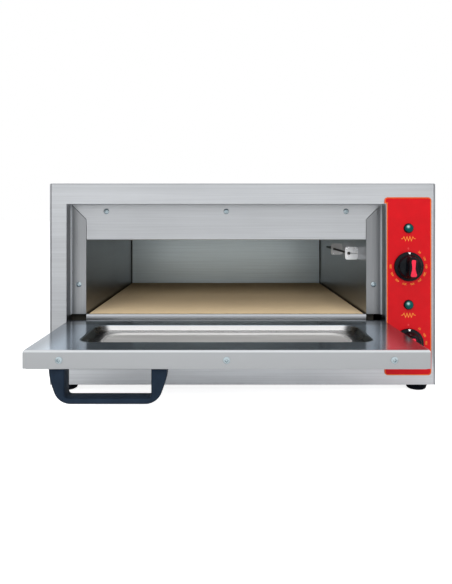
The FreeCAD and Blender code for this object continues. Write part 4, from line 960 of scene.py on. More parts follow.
@dataclass
class FrontPanel:
    """Front fascia with rounded folds into the recess and round its outer edge.

    Each fade is (start, end, share of the tone): painted shade into the recess, and painted light that keeps
    the face palest at its top and pales it again below the door's hinge.
    """

    gauge: float = 1.2 * MM
    fold: float = 0.9 * MM
    fold_steps: int = 6
    corner: float = 0.6 * MM
    corner_steps: int = 3
    support: float = 0.5 * MM
    recess: float = 26.0 * MM
    top_rise: float = 0.4 * MM
    top_fold: float = 0.25
    opening: tuple[float, float, float, float] = (-0.2535, 0.2065, 0.0825, 0.273)
    tone: float = 1.51
    recess_shade: tuple[float, float, float] = (0.8 * MM, 2.4 * MM, 0.38)
    foot_light: tuple[float, float, float] = (22.0 * MM, 46.0 * MM, 0.70)
    head_light_share: float = 0.74

    def build(self) -> Pieces:
        """Make the panel as one closed loop of rings: edge, face, fold, recess wall and back.

        The rounded upper edge is flattened to a share of its height and meets the cover.

        Returns:
            The panel.
        """
        low, high = span("front_panel")
        crest = high[2] + self.top_rise
        outer, inner = (low[0], high[0], low[2], crest), self.opening
        arc = np.radians(np.linspace(0.0, 90.0, self.fold_steps))
        rings = [self.ring(outer, 0.0, self.gauge)]
        rings += [self.ring(outer, -self.gauge * (1.0 - np.cos(a)), self.gauge * (1.0 - np.sin(a)))
                  for a in arc]
        rings += [self.ring(outer, -self.gauge - self.support, 0.0),
                  self.ring(inner, self.fold + self.support, 0.0)]
        rings += [self.ring(inner, self.fold * (1.0 - np.sin(a)), self.fold * (1.0 - np.cos(a))) for a in arc]
        rings += [self.ring(inner, 0.0, self.recess), self.ring(inner, self.gauge, self.recess),
                  self.ring(inner, self.gauge, self.gauge)]
        shape = ring_loft(rings, self.corner_steps, wrap=True).facing_front((0.0, low[1], 0.0))
        below = crest - shape.points[:, 2]
        shape.points[:, 2] = crest - np.where(below < 1.001 * self.gauge, self.top_fold * below, below)
        # painted shade into the recess, painted light at the top and on the foot below the hinge
        start, end, share = self.recess_shade
        foot, hinge, foot_light_share = self.foot_light
        finish = BrushedSteel("fascia_steel_folded", shaded(STEEL, self.tone), 0.34, Grain.ALONG_X, fades=(
            ("Y", low[1] + start, low[1] + end, share), ("Z", low[2] + foot, low[2] + hinge, foot_light_share),
            ("Z", high[2], low[2] + hinge, self.head_light_share)))
        yield piece("front_panel_folded", shape, "casing", "fascia_steel", finish.material(), ["front_panel"])

    def ring(self, box: tuple[float, float, float, float], grow: float, depth: float) -> Ring:
        """Return a ring that is larger than a box.

        Args:
            box: Left, right, bottom and top.
            grow: How much larger it is on each side.
            depth: How far it lies behind the face.

        Returns:
            The ring.
        """
        left, right, bottom, top = box
        return ((left + right) / 2.0, (bottom + top) / 2.0, (right - left) / 2.0 + grow,
                (top - bottom) / 2.0 + grow, self.corner + max(grow, 0.0), -depth)


@dataclass
class Lips:
    """Lips of the recess, mitred at the upper corners; the top one has a hem folded back at the mouth.

    The side lips darken from one share of their width to another, down to a share of their tone: painted
    shade towards the recess wall. Each side lip has its own tone, the left paler than the right: painted
    light and shade.
    """

    gauge: float = 1.2 * MM
    fold: float = 1.6 * MM
    hem: float = 10.0 * MM
    edge: float = 1.0 * MM
    joint: float = 0.55 * MM
    reach: float = 22.0 * MM
    support: float = 0.4 * MM
    bend_steps: int = 7
    # painted shade towards the recess wall, and tones of the left and right lips, which paint light and shade
    wall_shade: tuple[float, float, float] = (0.76, 0.84, 0.80)
    tones: tuple[float, float] = (0.64, 0.53)
    sill_drop: float = 12.0 * MM
    sill_round: float = 2.4 * MM
    flange: float = 5.0 * MM
    flange_gauge: float = 0.6 * MM
    flange_gap: float = 0.1 * MM
    flange_tone: float = 1.45

    def build(self) -> Pieces:
        """Make the three lips, whose ends run on the mitre at 45 degrees, the flanges and the sill.

        Returns:
            The pieces, one by one.
        """
        low, high = span("top_lip")
        face, top, mouth_top = low[1], high[2] - self.gauge, low[2]
        left, right = low[0] + self.gauge, high[0] - self.gauge
        mouth_left, mouth_right = left + self.reach, right - self.reach
        foot = span("left_lip")[0][2]
        corner = top - mouth_top - self.reach
        away, depth = self.section(top - mouth_top, self.fold, self.hem, corner)
        shift = np.maximum(away - corner, 0.0) - self.joint
        shape = bar([mouth_left - shift, mouth_right + shift], face + depth, mouth_top + away)
        yield piece("top_lip_hemmed", shape, "casing", "fascia_steel", FASCIA.material(), ["top_lip"])
        away, depth = self.section(self.reach, self.edge, self.gauge, self.reach / 2.0)
        head = top - self.reach + away - self.joint
        start, end, share = self.wall_shade
        # each side lip's own tone and its darkening towards the recess wall are painted light and shade
        for node, mouth, way, tone in (("left_lip", mouth_left, -1.0, self.tones[0]),
                                       ("right_lip", mouth_right, 1.0, self.tones[1])):
            finish = BrushedSteel(f"{node}_steel", shaded(STEEL, tone), 0.3, Grain.ALONG_Z, fades=(
                ("X", mouth + way * self.reach * start, mouth + way * self.reach * end, share),))
            shape = bar([foot, head], face + depth, mouth + way * away).upright()
            yield piece(f"{node}_mitred", shape, "casing", "fascia_steel", finish.material(), [node])
        yield self.flanges(left, right, face, (foot, top))
        yield self.sill()

    def section(self, width: float, fold: float, hem: float, corner: float) -> tuple[Array, Array]:
        """Return a lip's section, bent by a quarter round at the mouth: out along its front, back behind it.

        Args:
            width: Width of the lip.
            fold: Outer radius of the bend.
            hem: How far the hem goes back.
            corner: Distance from the mouth to the foot of the mitre.

        Returns:
            Distances from the mouth and depths behind the face.
        """
        lines = []
        for inset in (0.0, self.gauge):
            bend = rounded((fold, fold), -90.0, -180.0, max(fold - inset, 0.0), self.bend_steps)
            lines.append(np.array([(width, inset), (corner, inset), (fold + self.support, inset),
                                   *np.maximum(bend, inset), (inset, max(hem, fold))]))
        return tuple(np.concatenate([lines[0], lines[1][::-1]]).T)

    def flanges(self, left: float, right: float, face: float, ends: tuple[float, float]) -> bpy.types.Object:
        """Make the narrow flanges that stand out from the side lips along the recess walls.

        Args:
            left: The recess's left wall.
            right: The recess's right wall.
            face: Front of the lips.
            ends: Their foot and head.

        Returns:
            The piece.
        """
        near, far = self.flange_gap, self.flange_gap + self.flange_gauge
        depth = face - np.array([0.0, self.flange, self.flange, 0.0])
        across = np.array([near, near, far, far])
        shape = joined([bar(ends, depth, height).upright() for height in (left + across, right - across)])
        finish = BrushedSteel("flange_steel", shaded(STEEL, self.flange_tone), 0.3, Grain.ALONG_Z,
                              metallic=0.45)
        return piece("lip_flanges", shape, "casing", "fascia_steel", finish.material())

    def sill(self) -> bpy.types.Object:
        """Make the sill: an upright strip whose top turns back over a quarter round.

        Returns:
            The piece.
        """
        low, high = span("sill_strip")
        centre = (low[1] + self.sill_round, high[2] - self.sill_round)
        lines = []
        for inset in (0.0, self.gauge):
            bend = rounded(centre, 180.0, 90.0, self.sill_round - inset, self.bend_steps)
            lines.append([(low[1] + inset, high[2] - self.sill_drop), *bend, (high[1], high[2] - inset)])
        depth, height = np.array(lines[0] + lines[1][::-1]).T
        shape = bar([low[0], high[0]], depth, height)
        return piece("sill_rounded", shape, "casing", "fascia_steel", SILL_WITH_HIGHLIGHT.material(), ["sill_strip"])


@dataclass
class Door:
    """Drop-down door: inner panel with a drawn pan, and the pan's sunk floor."""

    edge: float = 3.0 * MM
    side_reflection_share: float = 0.5
    plan_corner: float = 0.8 * MM
    gauge: float = 1.2 * MM
    side_margin: float = 49.0 * MM
    free_margin: float = 41.0 * MM
    hinge_margin: float = 38.0 * MM
    corner: float = 17.0 * MM
    corner_spread: float = 0.2
    rim: float = 2.5 * MM
    wall_degrees: float = 45.0
    cove: float = 4.0 * MM
    shelf: float = 6.8 * MM
    depth: float = 9.0 * MM
    floor_inset: float = 21.0 * MM
    floor_edge: float = 3.6 * MM
    floor_rise: float = 0.3 * MM
    floor_half: float = 0.1
    bead: float = 0.5 * MM
    bead_share: float = 0.4
    hem_drop: float = 1.6 * MM
    under_inset: float = 4.0 * MM
    support: float = 0.6 * MM
    step: float = 0.5 * MM
    bend_steps: int = 7
    cove_steps: int = 9
    corner_steps: int = 12

    def __post_init__(self) -> None:
        """Take the panel's place from the model."""
        self.low, self.high = span("door_inner_panel")
        self.middle, self.half = (self.low + self.high) / 2.0, (self.high - self.low) / 2.0
        self.top = self.high[2]

    def build(self) -> Pieces:
        """Make the inner panel from rings: hem, edge bend, face, rim, wall, cove, shelf and pan bottom.

        Returns:
            The panel and the pan's floor.
        """
        tilt = np.radians(self.wall_degrees)
        hem = self.low[2] - self.hem_drop
        rings = [self.outer(self.gauge, hem), self.outer(0.0, hem)]
        rings += [self.outer(self.edge * (1.0 - np.cos(a)), self.top - self.edge * (1.0 - np.sin(a)))
                  for a in np.radians(np.linspace(0.0, 90.0, self.bend_steps))]
        rings += [self.outer(self.edge + self.support, self.top), self.pan(-self.support, 0.0)]
        rings += [self.pan(self.rim * np.sin(a), self.rim * (1.0 - np.cos(a)))
                  for a in np.linspace(0.0, tilt, self.bend_steps)]
        wall = self.shelf - (self.cove + self.rim) * (1.0 - np.cos(tilt))
        foot = (self.rim + self.cove) * np.sin(tilt) + wall / np.tan(tilt)
        rings += [self.pan(foot - self.cove * np.sin(a), self.shelf - self.cove * (1.0 - np.cos(a)))
                  for a in np.linspace(tilt, 0.0, self.cove_steps)]
        rings += [self.pan(foot + self.support, self.shelf),
                  self.pan(self.floor_inset + self.step, self.shelf),
                  self.pan(self.floor_inset + self.support, self.depth), self.middle_line(self.depth)]
        under = [rings[0], self.outer(self.gauge, self.top - self.edge - self.gauge),
                 self.outer(self.edge + self.gauge, self.top - self.gauge), self.pan(-self.gauge, self.gauge),
                 self.pan(foot - self.under_inset, self.depth + self.gauge),
                 self.middle_line(self.depth + self.gauge)]
        shape = ring_loft(rings, self.corner_steps) + ring_loft(under, self.corner_steps)
        top, free, hinge, end = self.top, self.low[1], self.high[1], self.half[0] - self.side_margin
        # the sheet's finish paints highlights on the edge's bend and the drawn pan, a reflection on the
        # sides, and shade at the hinge, the pan's ends and the outer ends
        finish = BrightSteel(
            "door_bright_sheet", (0.55, 0.65, 0.76), roughness=0.15, drawn_roughness=0.27,
            drawn=(top - 0.3 * MM, top - 1.5 * MM), edge=(free + 4.0 * MM, free + 1.0 * MM),
            bend=(top - 2.6 * MM, top - 1.8 * MM), hinge=(hinge - 42.0 * MM, hinge - 32.0 * MM),
            shelf=(top - 4.6 * MM, top - 6.2 * MM), ends=(155.0 * MM, 165.0 * MM),
            sides=(end - 8.0 * MM, end + 4.0 * MM), shaded_tips=(end + 8.0 * MM, end + 42.0 * MM),
            middle=(self.middle[0], self.middle[1]))
        yield piece("door_inner_drawn", shape, "door", "bright_steel", finish.material(),
                    ["door_inner_panel"])
        yield self.floor()

    def outer(self, inset: float, level: float) -> Ring:
        """Return a ring of the door's outline, set in from its edge, and less so at the sides."""
        return (self.middle[0], self.middle[1], self.half[0] - inset * self.side_reflection_share, self.half[1] - inset,
                self.plan_corner, level)

    def pan(self, inset: float, drop: float) -> Ring:
        """Return a ring of the pan, whose corners open up towards the floor.

        Args:
            inset: How far it is set in from the pan's rim.
            drop: How far it lies below the panel's face.

        Returns:
            The ring.
        """
        return (self.middle[0], self.middle[1] + (self.free_margin - self.hinge_margin) / 2.0,
                self.half[0] - self.side_margin - inset,
                self.half[1] - (self.free_margin + self.hinge_margin) / 2.0 - inset,
                self.corner + self.corner_spread * max(inset, 0.0), self.top - drop)

    def middle_line(self, drop: float) -> Ring:
        """Return the line on which a floor of the pan closes."""
        return (self.middle[0], self.pan(0.0, 0.0)[1], self.floor_half, 0.0, 0.0, self.top - drop)

    def floor(self) -> bpy.types.Object:
        """Make the sunk floor: a bead sin(pi t / 2) on the shelf's edge, then a fall by 3t^2 - 2t^3.

        Returns:
            The piece.
        """
        t = np.linspace(0.0, 1.0, self.cove_steps)
        bottom, crest = self.depth - self.floor_rise, self.shelf - self.bead
        share = np.concatenate([self.bead_share * t, self.bead_share + (1.0 - self.bead_share) * t[1:]])
        inset = self.floor_edge * share + self.floor_inset
        drop = np.concatenate([self.shelf - self.bead * np.sin(np.pi * t / 2.0),
                               crest + (bottom - crest) * (3.0 * t ** 2 - 2.0 * t ** 3)[1:]])
        rings = [self.middle_line(self.depth), self.pan(self.floor_inset, self.depth)]
        rings += [self.pan(*part) for part in zip(inset, drop)]
        rings += [self.pan(inset[-1] + self.step, bottom), self.middle_line(bottom)]
        level = self.top - bottom
        # the bead's darker colour is painted shade
        finish = PanSheet("pan_satin_sheet", (0.645, 0.64, 0.63), bead=(0.56, 0.555, 0.55),
                          rise=(level + 0.2 * MM, level + 0.8 * MM))
        return piece("door_pan_floor", ring_loft(rings, self.corner_steps), "door", "bright_steel",
                     finish.material())


@dataclass
class Handle:
    """Moulded bow handle under the door."""

    gap: float = 100.0 * MM
    thickness: float = 7.0 * MM
    taper: float = 9.0 * MM
    bulge: float = 1.6 * MM
    corner: float = 20.0 * MM
    gap_corner: float = 4.0 * MM
    edge: float = 2.6 * MM
    leg_steps: int = 14
    turn_steps: int = 12
    bar_steps: int = 6
    edge_steps: int = 6

    def build(self) -> Pieces:
        """Make the handle as a rounded rectangle carried along the bow between its outer and inner line.

        Returns:
            The handle.
        """
        low, high = span("door_handle")
        middle, half = (low + high) / 2.0, (high - low) / 2.0
        drop = high[2] - low[2]
        outer = self.line(half[0], half[0] - self.taper, drop, self.corner, self.bulge)
        inner = self.line(self.gap / 2.0, self.gap / 2.0, drop - self.thickness, self.gap_corner, 0.0)
        across = outer - inner
        width = np.linalg.norm(across, axis=1)[:, None]
        side_u, side_v, angle = corner_walk(self.edge_steps)
        u = side_u * (width / 2.0 - self.edge) + self.edge * np.cos(angle)
        v = np.broadcast_to(side_v * (half[1] - self.edge) + self.edge * np.sin(angle), u.shape)
        flat = ((outer + inner) / 2.0)[:, None, :] + u[..., None] * (across / width)[:, None, :]
        points = np.stack([middle[0] + flat[..., 0], middle[1] + v, high[2] - flat[..., 1]], axis=-1)
        poles = np.repeat(points[[0, -1]].mean(axis=1, keepdims=True), len(angle), axis=1)
        shape = grid(np.concatenate([poles[:1], points, poles[1:]]))
        yield piece("door_handle_moulded", shape, "door", "black_plastic", HANDLE_BLACK.material(),
                    ["door_handle"])

    def line(self, foot: float, tip: float, drop: float, corner: float, bulge: float) -> Array:
        """Return one side of the bow from the left foot round to the right foot, as (x, drop) points.

        Each leg is straight from foot to tip plus a swell bulge * sin(pi t), the corner is a round that
        starts at the leg's own lean, and the bar is straight; the right half mirrors the left.

        Args:
            foot: Half width at the door.
            tip: Half width at the bar.
            drop: Distance from the door to the bar.
            corner: Radius between leg and bar.
            bulge: Swell of the leg.

        Returns:
            The points.
        """
        t = np.linspace(0.0, 1.0, self.leg_steps)
        lean = np.arctan((foot - tip) / drop + np.pi * bulge / drop)
        leg_end = drop - corner * (1.0 - np.sin(lean))
        reach = foot - (foot - tip) * leg_end / drop
        start = corner * np.cos(lean) - reach
        leg = np.stack([-(foot + (reach - foot) * t + bulge * np.sin(np.pi * t)), leg_end * t], axis=-1)
        turn = np.linspace(np.pi - lean, np.pi / 2.0, self.turn_steps + 1)[1:]
        bow = np.stack([start + corner * np.cos(turn), drop - corner + corner * np.sin(turn)], axis=-1)
        bar_x = np.linspace(start, 0.0, self.bar_steps + 1)[1:]
        half = np.concatenate([leg, bow, np.stack([bar_x, np.full_like(bar_x, drop)], axis=-1)])
        return np.concatenate([half, half[-2::-1] * np.array([-1.0, 1.0])])


@dataclass
class Knob:
    """Thermostat knob: skirt, scooped drum with a waisted bar, red insert and white pointer."""

    name: str
    steps: int = 96
    bar_level: float = 10.4
    bar_rise: float = 5.0
    waist: float = 0.18
    flare: float = 0.13
    insert_half: float = 12.0 * MM
    insert_drop: float = 1.0 * MM
    insert_widths: tuple[float, float, float] = (4.8 * MM, 2.3 * MM, 7.0 * MM)
    insert_inset: tuple[float, ...] = (0.0, 0.0, 0.04, 0.1, 0.2, 1.0)
    insert_level: tuple[float, ...] = (-1.0, 0.0, 0.6, 0.85, 1.0, 1.0)
    insert_slim: float = 0.35
    pointer: tuple[float, float] = (4.0 * MM, 2.4 * MM)
    pointer_rim: float = 20.3 * MM
    pointer_ink: float = 0.1 * MM
    pointer_foot: float = 0.35
    pointer_levels: tuple[float, float] = (5.25 * MM, 3.75 * MM)
    #: half width, half length, squareness and height of each section up the knob, in millimetres
    sections: tuple[tuple[float, float, float, float], ...] = (
        (0.0, 0.0, 2.0, 0.0), (20.4, 20.4, 2.0, 0.0), (21.0, 21.0, 2.0, 0.6), (21.0, 21.0, 2.0, 2.6),
        (20.7, 20.7, 2.0, 3.2), (20.0, 20.0, 2.0, 3.6), (18.6, 18.6, 2.0, 4.2), (17.4, 17.4, 2.0, 5.1),
        (16.5, 16.5, 2.0, 6.4), (15.8, 15.8, 2.0, 8.6), (15.1, 15.3, 2.0, 9.9), (14.4, 15.2, 2.0, 10.3),
        (12.6, 15.2, 2.05, 10.5), (10.6, 15.2, 2.15, 10.9), (9.2, 15.2, 2.3, 11.8), (8.3, 15.1, 2.5, 13.4),
        (7.8, 15.0, 2.6, 16.0), (7.4, 14.9, 2.7, 20.4), (7.1, 14.6, 2.7, 21.7), (6.5, 14.0, 2.7, 22.4),
        (6.0, 13.5, 2.7, 22.6), (0.0, 11.0, 2.7, 22.6))

    def build(self) -> Pieces:
        """Make the knob, its insert and its pointer where the model has them.

        Returns:
            The pieces, one by one.
        """
        body, set_in = f"{self.name}_knob", f"{self.name}_knob_insert"
        low, high = span(body)
        x, _, z = (low + high) / 2.0
        cap = self.cap().facing_front((x, high[1], z))
        yield piece(f"{body}_scooped", cap, body, "black_plastic", BLACK.material(), [body])
        insert = self.insert(low[1] - span(set_in)[0][1]).facing_front((x, low[1], z - self.insert_drop))
        yield piece(f"{self.name}_insert_waisted", insert, body, "red_plastic", RED_INSERT.material(),
                    [set_in])
        width, length = self.pointer
        rim = z + self.pointer_rim
        mark = ribbon(np.array([(x, rim - length), (x, rim)]), width, high[1], self.pointer_ink)
        foot = mark.points[:, 2] < rim - length / 2.0
        mark.points[foot, 0] = x + (mark.points[foot, 0] - x) * self.pointer_foot
        mark.points[:, 1] -= np.where(foot, *self.pointer_levels)
        yield piece(f"{self.name}_pointer", mark, body, "black_plastic", WHITE_INK.material())

    def cap(self) -> Shape:
        """Return the knob as superellipses stacked along its axis.

        Each section is (a |cos|^(2/n), b |sin|^(2/n)) with the signs of cos and sin; above the drum the sides
        draw in to a waist, a * (1 - waist * cos^2(pi y / 2b)), and the lower half flares a little.

        Returns:
            The surface.
        """
        half_width, half_length, square, level = (column[:, None] for column in np.array(self.sections).T)
        angle = circle(self.steps)
        y = half_length * bowed(np.sin(angle), 2.0 / square) * MM
        x = half_width * bowed(np.cos(angle), 2.0 / square) * MM
        grip = np.clip((level - self.bar_level) / self.bar_rise, 0.0, 1.0)
        along = y / (np.maximum(half_length, 1.0) * MM)
        x = x * (1.0 - self.waist * grip * np.cos(np.pi * along / 2.0) ** 2 - self.flare * grip * along)
        return grid(np.stack([x, y, np.broadcast_to(level * MM, x.shape)], axis=-1))

    def insert(self, proud: float) -> Shape:
        """Return the insert: an outline that narrows from its foot to a waist and opens again, round-edged.

        The half width grows from the waist by the square of the way up and by the power 1.6 of the way down,
        times |cos|^0.55 of the angle, so that the ends are round; the rings shrink towards the top.

        Args:
            proud: How far it stands out of the bar.

        Returns:
            The surface.
        """
        top, waist, foot = self.insert_widths
        angle = circle(self.steps)
        along = bowed(np.sin(angle), 0.9)
        half = (waist + (top - waist) * np.clip(along, 0.0, 1.0) ** 2
                + (foot - waist) * np.clip(-along, 0.0, 1.0) ** 1.6)
        x, y = half * bowed(np.cos(angle), 0.55), self.insert_half * along
        inset, level = np.array(self.insert_inset)[:, None], np.array(self.insert_level)[:, None] * proud
        across = x * (1.0 - inset)
        length = y * (1.0 - inset * self.insert_slim) * (inset < 1.0)
        return grid(np.stack([across, length, np.broadcast_to(level, across.shape)], axis=-1))


@dataclass
class ControlColumn:
    """Print of the red control plate."""

    border_line: float = 0.48 * MM
    sign_line: float = 0.64 * MM
    ink: float = 0.06 * MM
    border_inset: float = 0.9 * MM
    corner: float = 5.0 * MM
    corner_steps: int = 7
    notch_shift: float = 3.2 * MM
    notch: tuple[float, float] = (0.0815, 0.274)
    dial_radius: float = 25.6 * MM
    digit: float = 2.9 * MM
    digit_size: float = 1.4
    digit_ink: float = 0.02 * MM
    digit_lift: float = 0.03 * MM
    dial_range: tuple[float, float] = (38.0, 270.0)
    marks: tuple[str, ...] = ("50", "100", "150", "200", "250", "300", "350", "400", "450", "500")
    symbol_drop: float = 15.2 * MM
    symbol_half: float = 10.5 * MM
    symbol_tall: float = 6.0 * MM
    symbol_lead: float = 0.8
    teeth: int = 4

    def build(self) -> Pieces:
        """Print the border, the heater signs under the lamps and the dials round the knobs.

        Returns:
            The pieces, one by one.
        """
        self.face = span("control_plate")[0][1]
        yellow = YELLOW_INK.material()
        border = ribbon(self.outline(), self.border_line, self.face, self.ink, closed=True)
        yield piece("plate_outline", border, "casing", "red_plate", yellow)
        signs = [ribbon(self.zigzag(x, z - self.symbol_drop), self.sign_line, self.face, self.ink)
                 for x, _, z in middles("pilot_bezels")]
        yield piece("heater_signs", joined(signs), "casing", "red_plate", yellow)
        knobs = [(low + high) / 2.0 for low, high in (span("top_knob"), span("bottom_knob"))]
        angles = np.linspace(*self.dial_range, len(self.marks))
        dials = [self.number(text, x, z, angle) for x, _, z in knobs
                 for text, angle in zip(self.marks, angles)]
        yield piece("dial_numbers", joined(dials), "casing", "red_plate", yellow)
        zeros = [self.number("0", x, z, 0.0) for x, _, z in knobs]
        yield piece("dial_zeros", joined(zeros), "casing", "red_plate", PINK_INK.material())

    def outline(self) -> Array:
        """Return the plate's outline, set in from its edge, with round corners and the notch beside the door.

        Returns:
            Points (x, z).
        """
        low, high = span("control_plate")
        left, right = low[0] + self.border_inset, high[0] - self.border_inset
        bottom, top = low[2] + self.border_inset, high[2] - self.border_inset
        radius = self.corner - self.border_inset
        path = []
        for x, z, start in ((left + radius, bottom + radius, 180.0), (right - radius, bottom + radius, 270.0),
                            (right - radius, top - radius, 0.0), (left + radius, top - radius, 90.0)):
            path += rounded((x, z), start, start + 90.0, radius, self.corner_steps)
        inner = left + self.notch_shift
        low_notch, high_notch = self.notch[0] - self.border_inset, self.notch[1] + self.border_inset
        path += [(left, high_notch), (inner, high_notch), (inner, low_notch), (left, low_notch)]
        return np.array(path)

    def zigzag(self, x: float, z: float) -> Array:
        """Return the heater sign: a straight lead, teeth up and down, and a straight lead.

        Args:
            x: Middle of the sign.
            z: Middle of the sign.

        Returns:
            Points (x, z).
        """
        count = 2 * self.teeth
        rise = np.where(np.arange(count + 1) % 2 == 0, -0.5, 0.5)
        rise[[0, -1]] = 0.0
        along = np.concatenate([[-1.0], np.linspace(-self.symbol_lead, self.symbol_lead, count + 1), [1.0]])
        rise = np.concatenate([[0.0], rise, [0.0]])
        return np.stack([x + along * self.symbol_half, z + rise * self.symbol_tall], axis=-1)

    def number(self, text: str, x: float, z: float, degrees: float) -> Shape:
        """Return a number on the dial at a clockwise angle from the top, turned to follow the circle.

        Args:
            text: The number.
            x: The dial's middle.
            z: The dial's middle.
            degrees: Its angle.

        Returns:
            The surface.
        """
        angle = np.radians(degrees)
        shape = self.lettering(text)
        across, up = shape.points[:, :1], shape.points[:, 1:2]
        shape.points[:, :2] = np.hstack([across * np.cos(angle) + up * np.sin(angle),
                                         up * np.cos(angle) - across * np.sin(angle)])
        return shape.facing_front((x + self.dial_radius * np.sin(angle), self.face - self.digit_lift,
                                   z + self.dial_radius * np.cos(angle)))

    def lettering(self, text: str) -> Shape:
        """Return a number as flat triangles in the XY plane, centred on the origin.

        Args:
            text: The number.

        Returns:
            The surface.
        """
        curve = bpy.data.curves.new("numeral", "FONT")
        curve.body = text
        curve.size = self.digit * self.digit_size
        curve.align_x = curve.align_y = "CENTER"
        curve.extrude = self.digit_ink
        curve.resolution_u = 3
        holder = placed("numeral", curve)
        bpy.context.view_layer.update()
        flat = bpy.data.meshes.new_from_object(holder.evaluated_get(bpy.context.evaluated_depsgraph_get()))
        flat.calc_loop_triangles()
        shape = Shape(read(flat.vertices, "co", 3, np.float32).astype(float),
                      read(flat.loop_triangles, "vertices", 3, np.int32))
        bpy.data.objects.remove(holder)
        bpy.data.curves.remove(curve)
        bpy.data.meshes.remove(flat)
        return shape


@dataclass
class PilotLamps:
    """Lamps of the control plate: a rounded collar with a barrel, and a domed lens."""

    outer: float = 7.0 * MM
    bore: float = 5.0 * MM
    rise: float = 2.4 * MM
    barrel: float = 6.0 * MM
    length: float = 14.0 * MM
    outer_round: float = 1.1 * MM
    bore_round: float = 0.6 * MM
    neck: float = 4.8 * MM
    neck_ends: tuple[float, float] = (-0.8 * MM, 2.0 * MM)
    dome: float = 5.9 * MM
    dome_level: float = 3.2 * MM
    dome_rise: float = 3.4 * MM
    # offset from a lamp's middle and radius of the painted highlight on its lens
    highlight_offset: tuple[float, float, float] = (-2.0 * MM, -6.0 * MM, 2.4 * MM)
    highlight_radius: float = 3.3 * MM
    steps: int = 48

    def build(self) -> Pieces:
        """Turn one collar and one lens and set them at each lamp of the model.

        Returns:
            The collars and the lenses.
        """
        collar = [(self.bore, -self.length), (self.barrel, -self.length), (self.barrel, 0.0),
                  (self.outer, 0.0)]
        for radius, first, bend, steps in ((self.outer - self.outer_round, 0.0, self.outer_round, 6),
                                           (self.bore + self.bore_round, 90.0, self.bore_round, 4)):
            collar += rounded((radius, self.rise - bend), first, first + 90.0, bend, steps)
        collar.append(collar[0])
        arc = np.radians(np.linspace(-20.0, 90.0, 12))
        base, shoulder = self.neck_ends
        lens = [(0.0, base), (self.neck, base), (self.neck, shoulder)]
        lens += zip(self.dome * np.cos(arc), self.dome_level + self.dome_rise * np.sin(arc))
        face = span("control_plate")[0][1]
        places = [np.array([x, face, z]) for x, _, z in middles("pilot_bezels")]
        painted_highlights = tuple((*(place + self.highlight_offset), self.highlight_radius) for place in places)
        for name, profile, slot, finish, node in (
                ("pilot_collars", collar, "black_plastic", BLACK, "pilot_bezels"),
                ("pilot_domes", lens, "lens_green", replace(LENS, painted_highlights=painted_highlights), "pilot_lenses")):
            shape = grid(swept(profile, self.steps))
            yield piece(name, joined([shape.facing_front(place) for place in places]), "casing", slot,
                        finish.material(), [node])


@dataclass
class BulbClips:
    """Clips of the upper bulb: a soft-cornered plate, slit from its hole to the wall, on a foot."""

    gauge: float = 1.0 * MM
    hole: float = 2.7 * MM
    slit: float = 1.1 * MM
    square: float = 7.0
    foot_inset: float = 2.0 * MM
    steps: int = 121

    def build(self) -> Pieces:
        """Make a plate and a foot at each clip of the model.

        Returns:
            The clips.
        """
        low, high = span("top_sensor_clips")
        bulb_low, bulb_high = span("top_sensor")
        axis = bulb_low[[0, 2]] + (bulb_high[2] - bulb_low[2]) / 2.0
        outline, hole = self.lines((low + high)[[0, 2]] / 2.0, (high - low)[0] / 2.0, axis)
        across = high[0] - np.array([0.0, self.gauge, self.gauge, 0.0])
        ends = (low[2] + self.foot_inset, high[2] - self.foot_inset)
        spots = middles("top_sensor_clips")
        shapes = []
        for spot in spots:
            near = low[1] + spot[1] - spots[0][1]
            back, rear = near + self.gauge, 2.0 * spot[1] - near
            shapes.append(strip(outline, hole, back, self.gauge))
            shapes.append(bar(ends, np.array([back, back, rear, rear]), across).upright())
        yield piece("bulb_clips_slit", joined(shapes), "casing", "bright_steel", CLIP_STEEL.material(),
                    ["top_sensor_clips"])

    def lines(self, middle: Array, half: float, axis: Array) -> tuple[Array, Array]:
        """Return the plate's outline and its hole, both from the slit's upper side round to its lower side.

        The outline is the superellipse (|cos|^(2/n), |sin|^(2/n)) with the signs of cos and sin, times half.

        Args:
            middle: The plate's middle (x, z).
            half: Half its width.
            axis: The hole's middle.

        Returns:
            Points (x, z) of both lines.
        """
        ends = [np.arcsin((self.slit / 2.0 / half) ** (self.square / 2.0)),
                np.arcsin(self.slit / 2.0 / self.hole)]
        outer, inner = (np.linspace(end, 2.0 * np.pi - end, self.steps)[:, None] for end in ends)
        outline = middle + half * bowed(np.hstack([np.cos(outer), np.sin(outer)]), 2.0 / self.square)
        return outline, axis + self.hole * np.hstack([np.cos(inner), np.sin(inner)])


class Facing(Enum):
    """Side that a screw's head looks to, as the number of the axis and the way along it."""

    FRONT = (1, -1.0)
    REAR = (1, 1.0)
    LEFT = (0, -1.0)
    RIGHT = (0, 1.0)


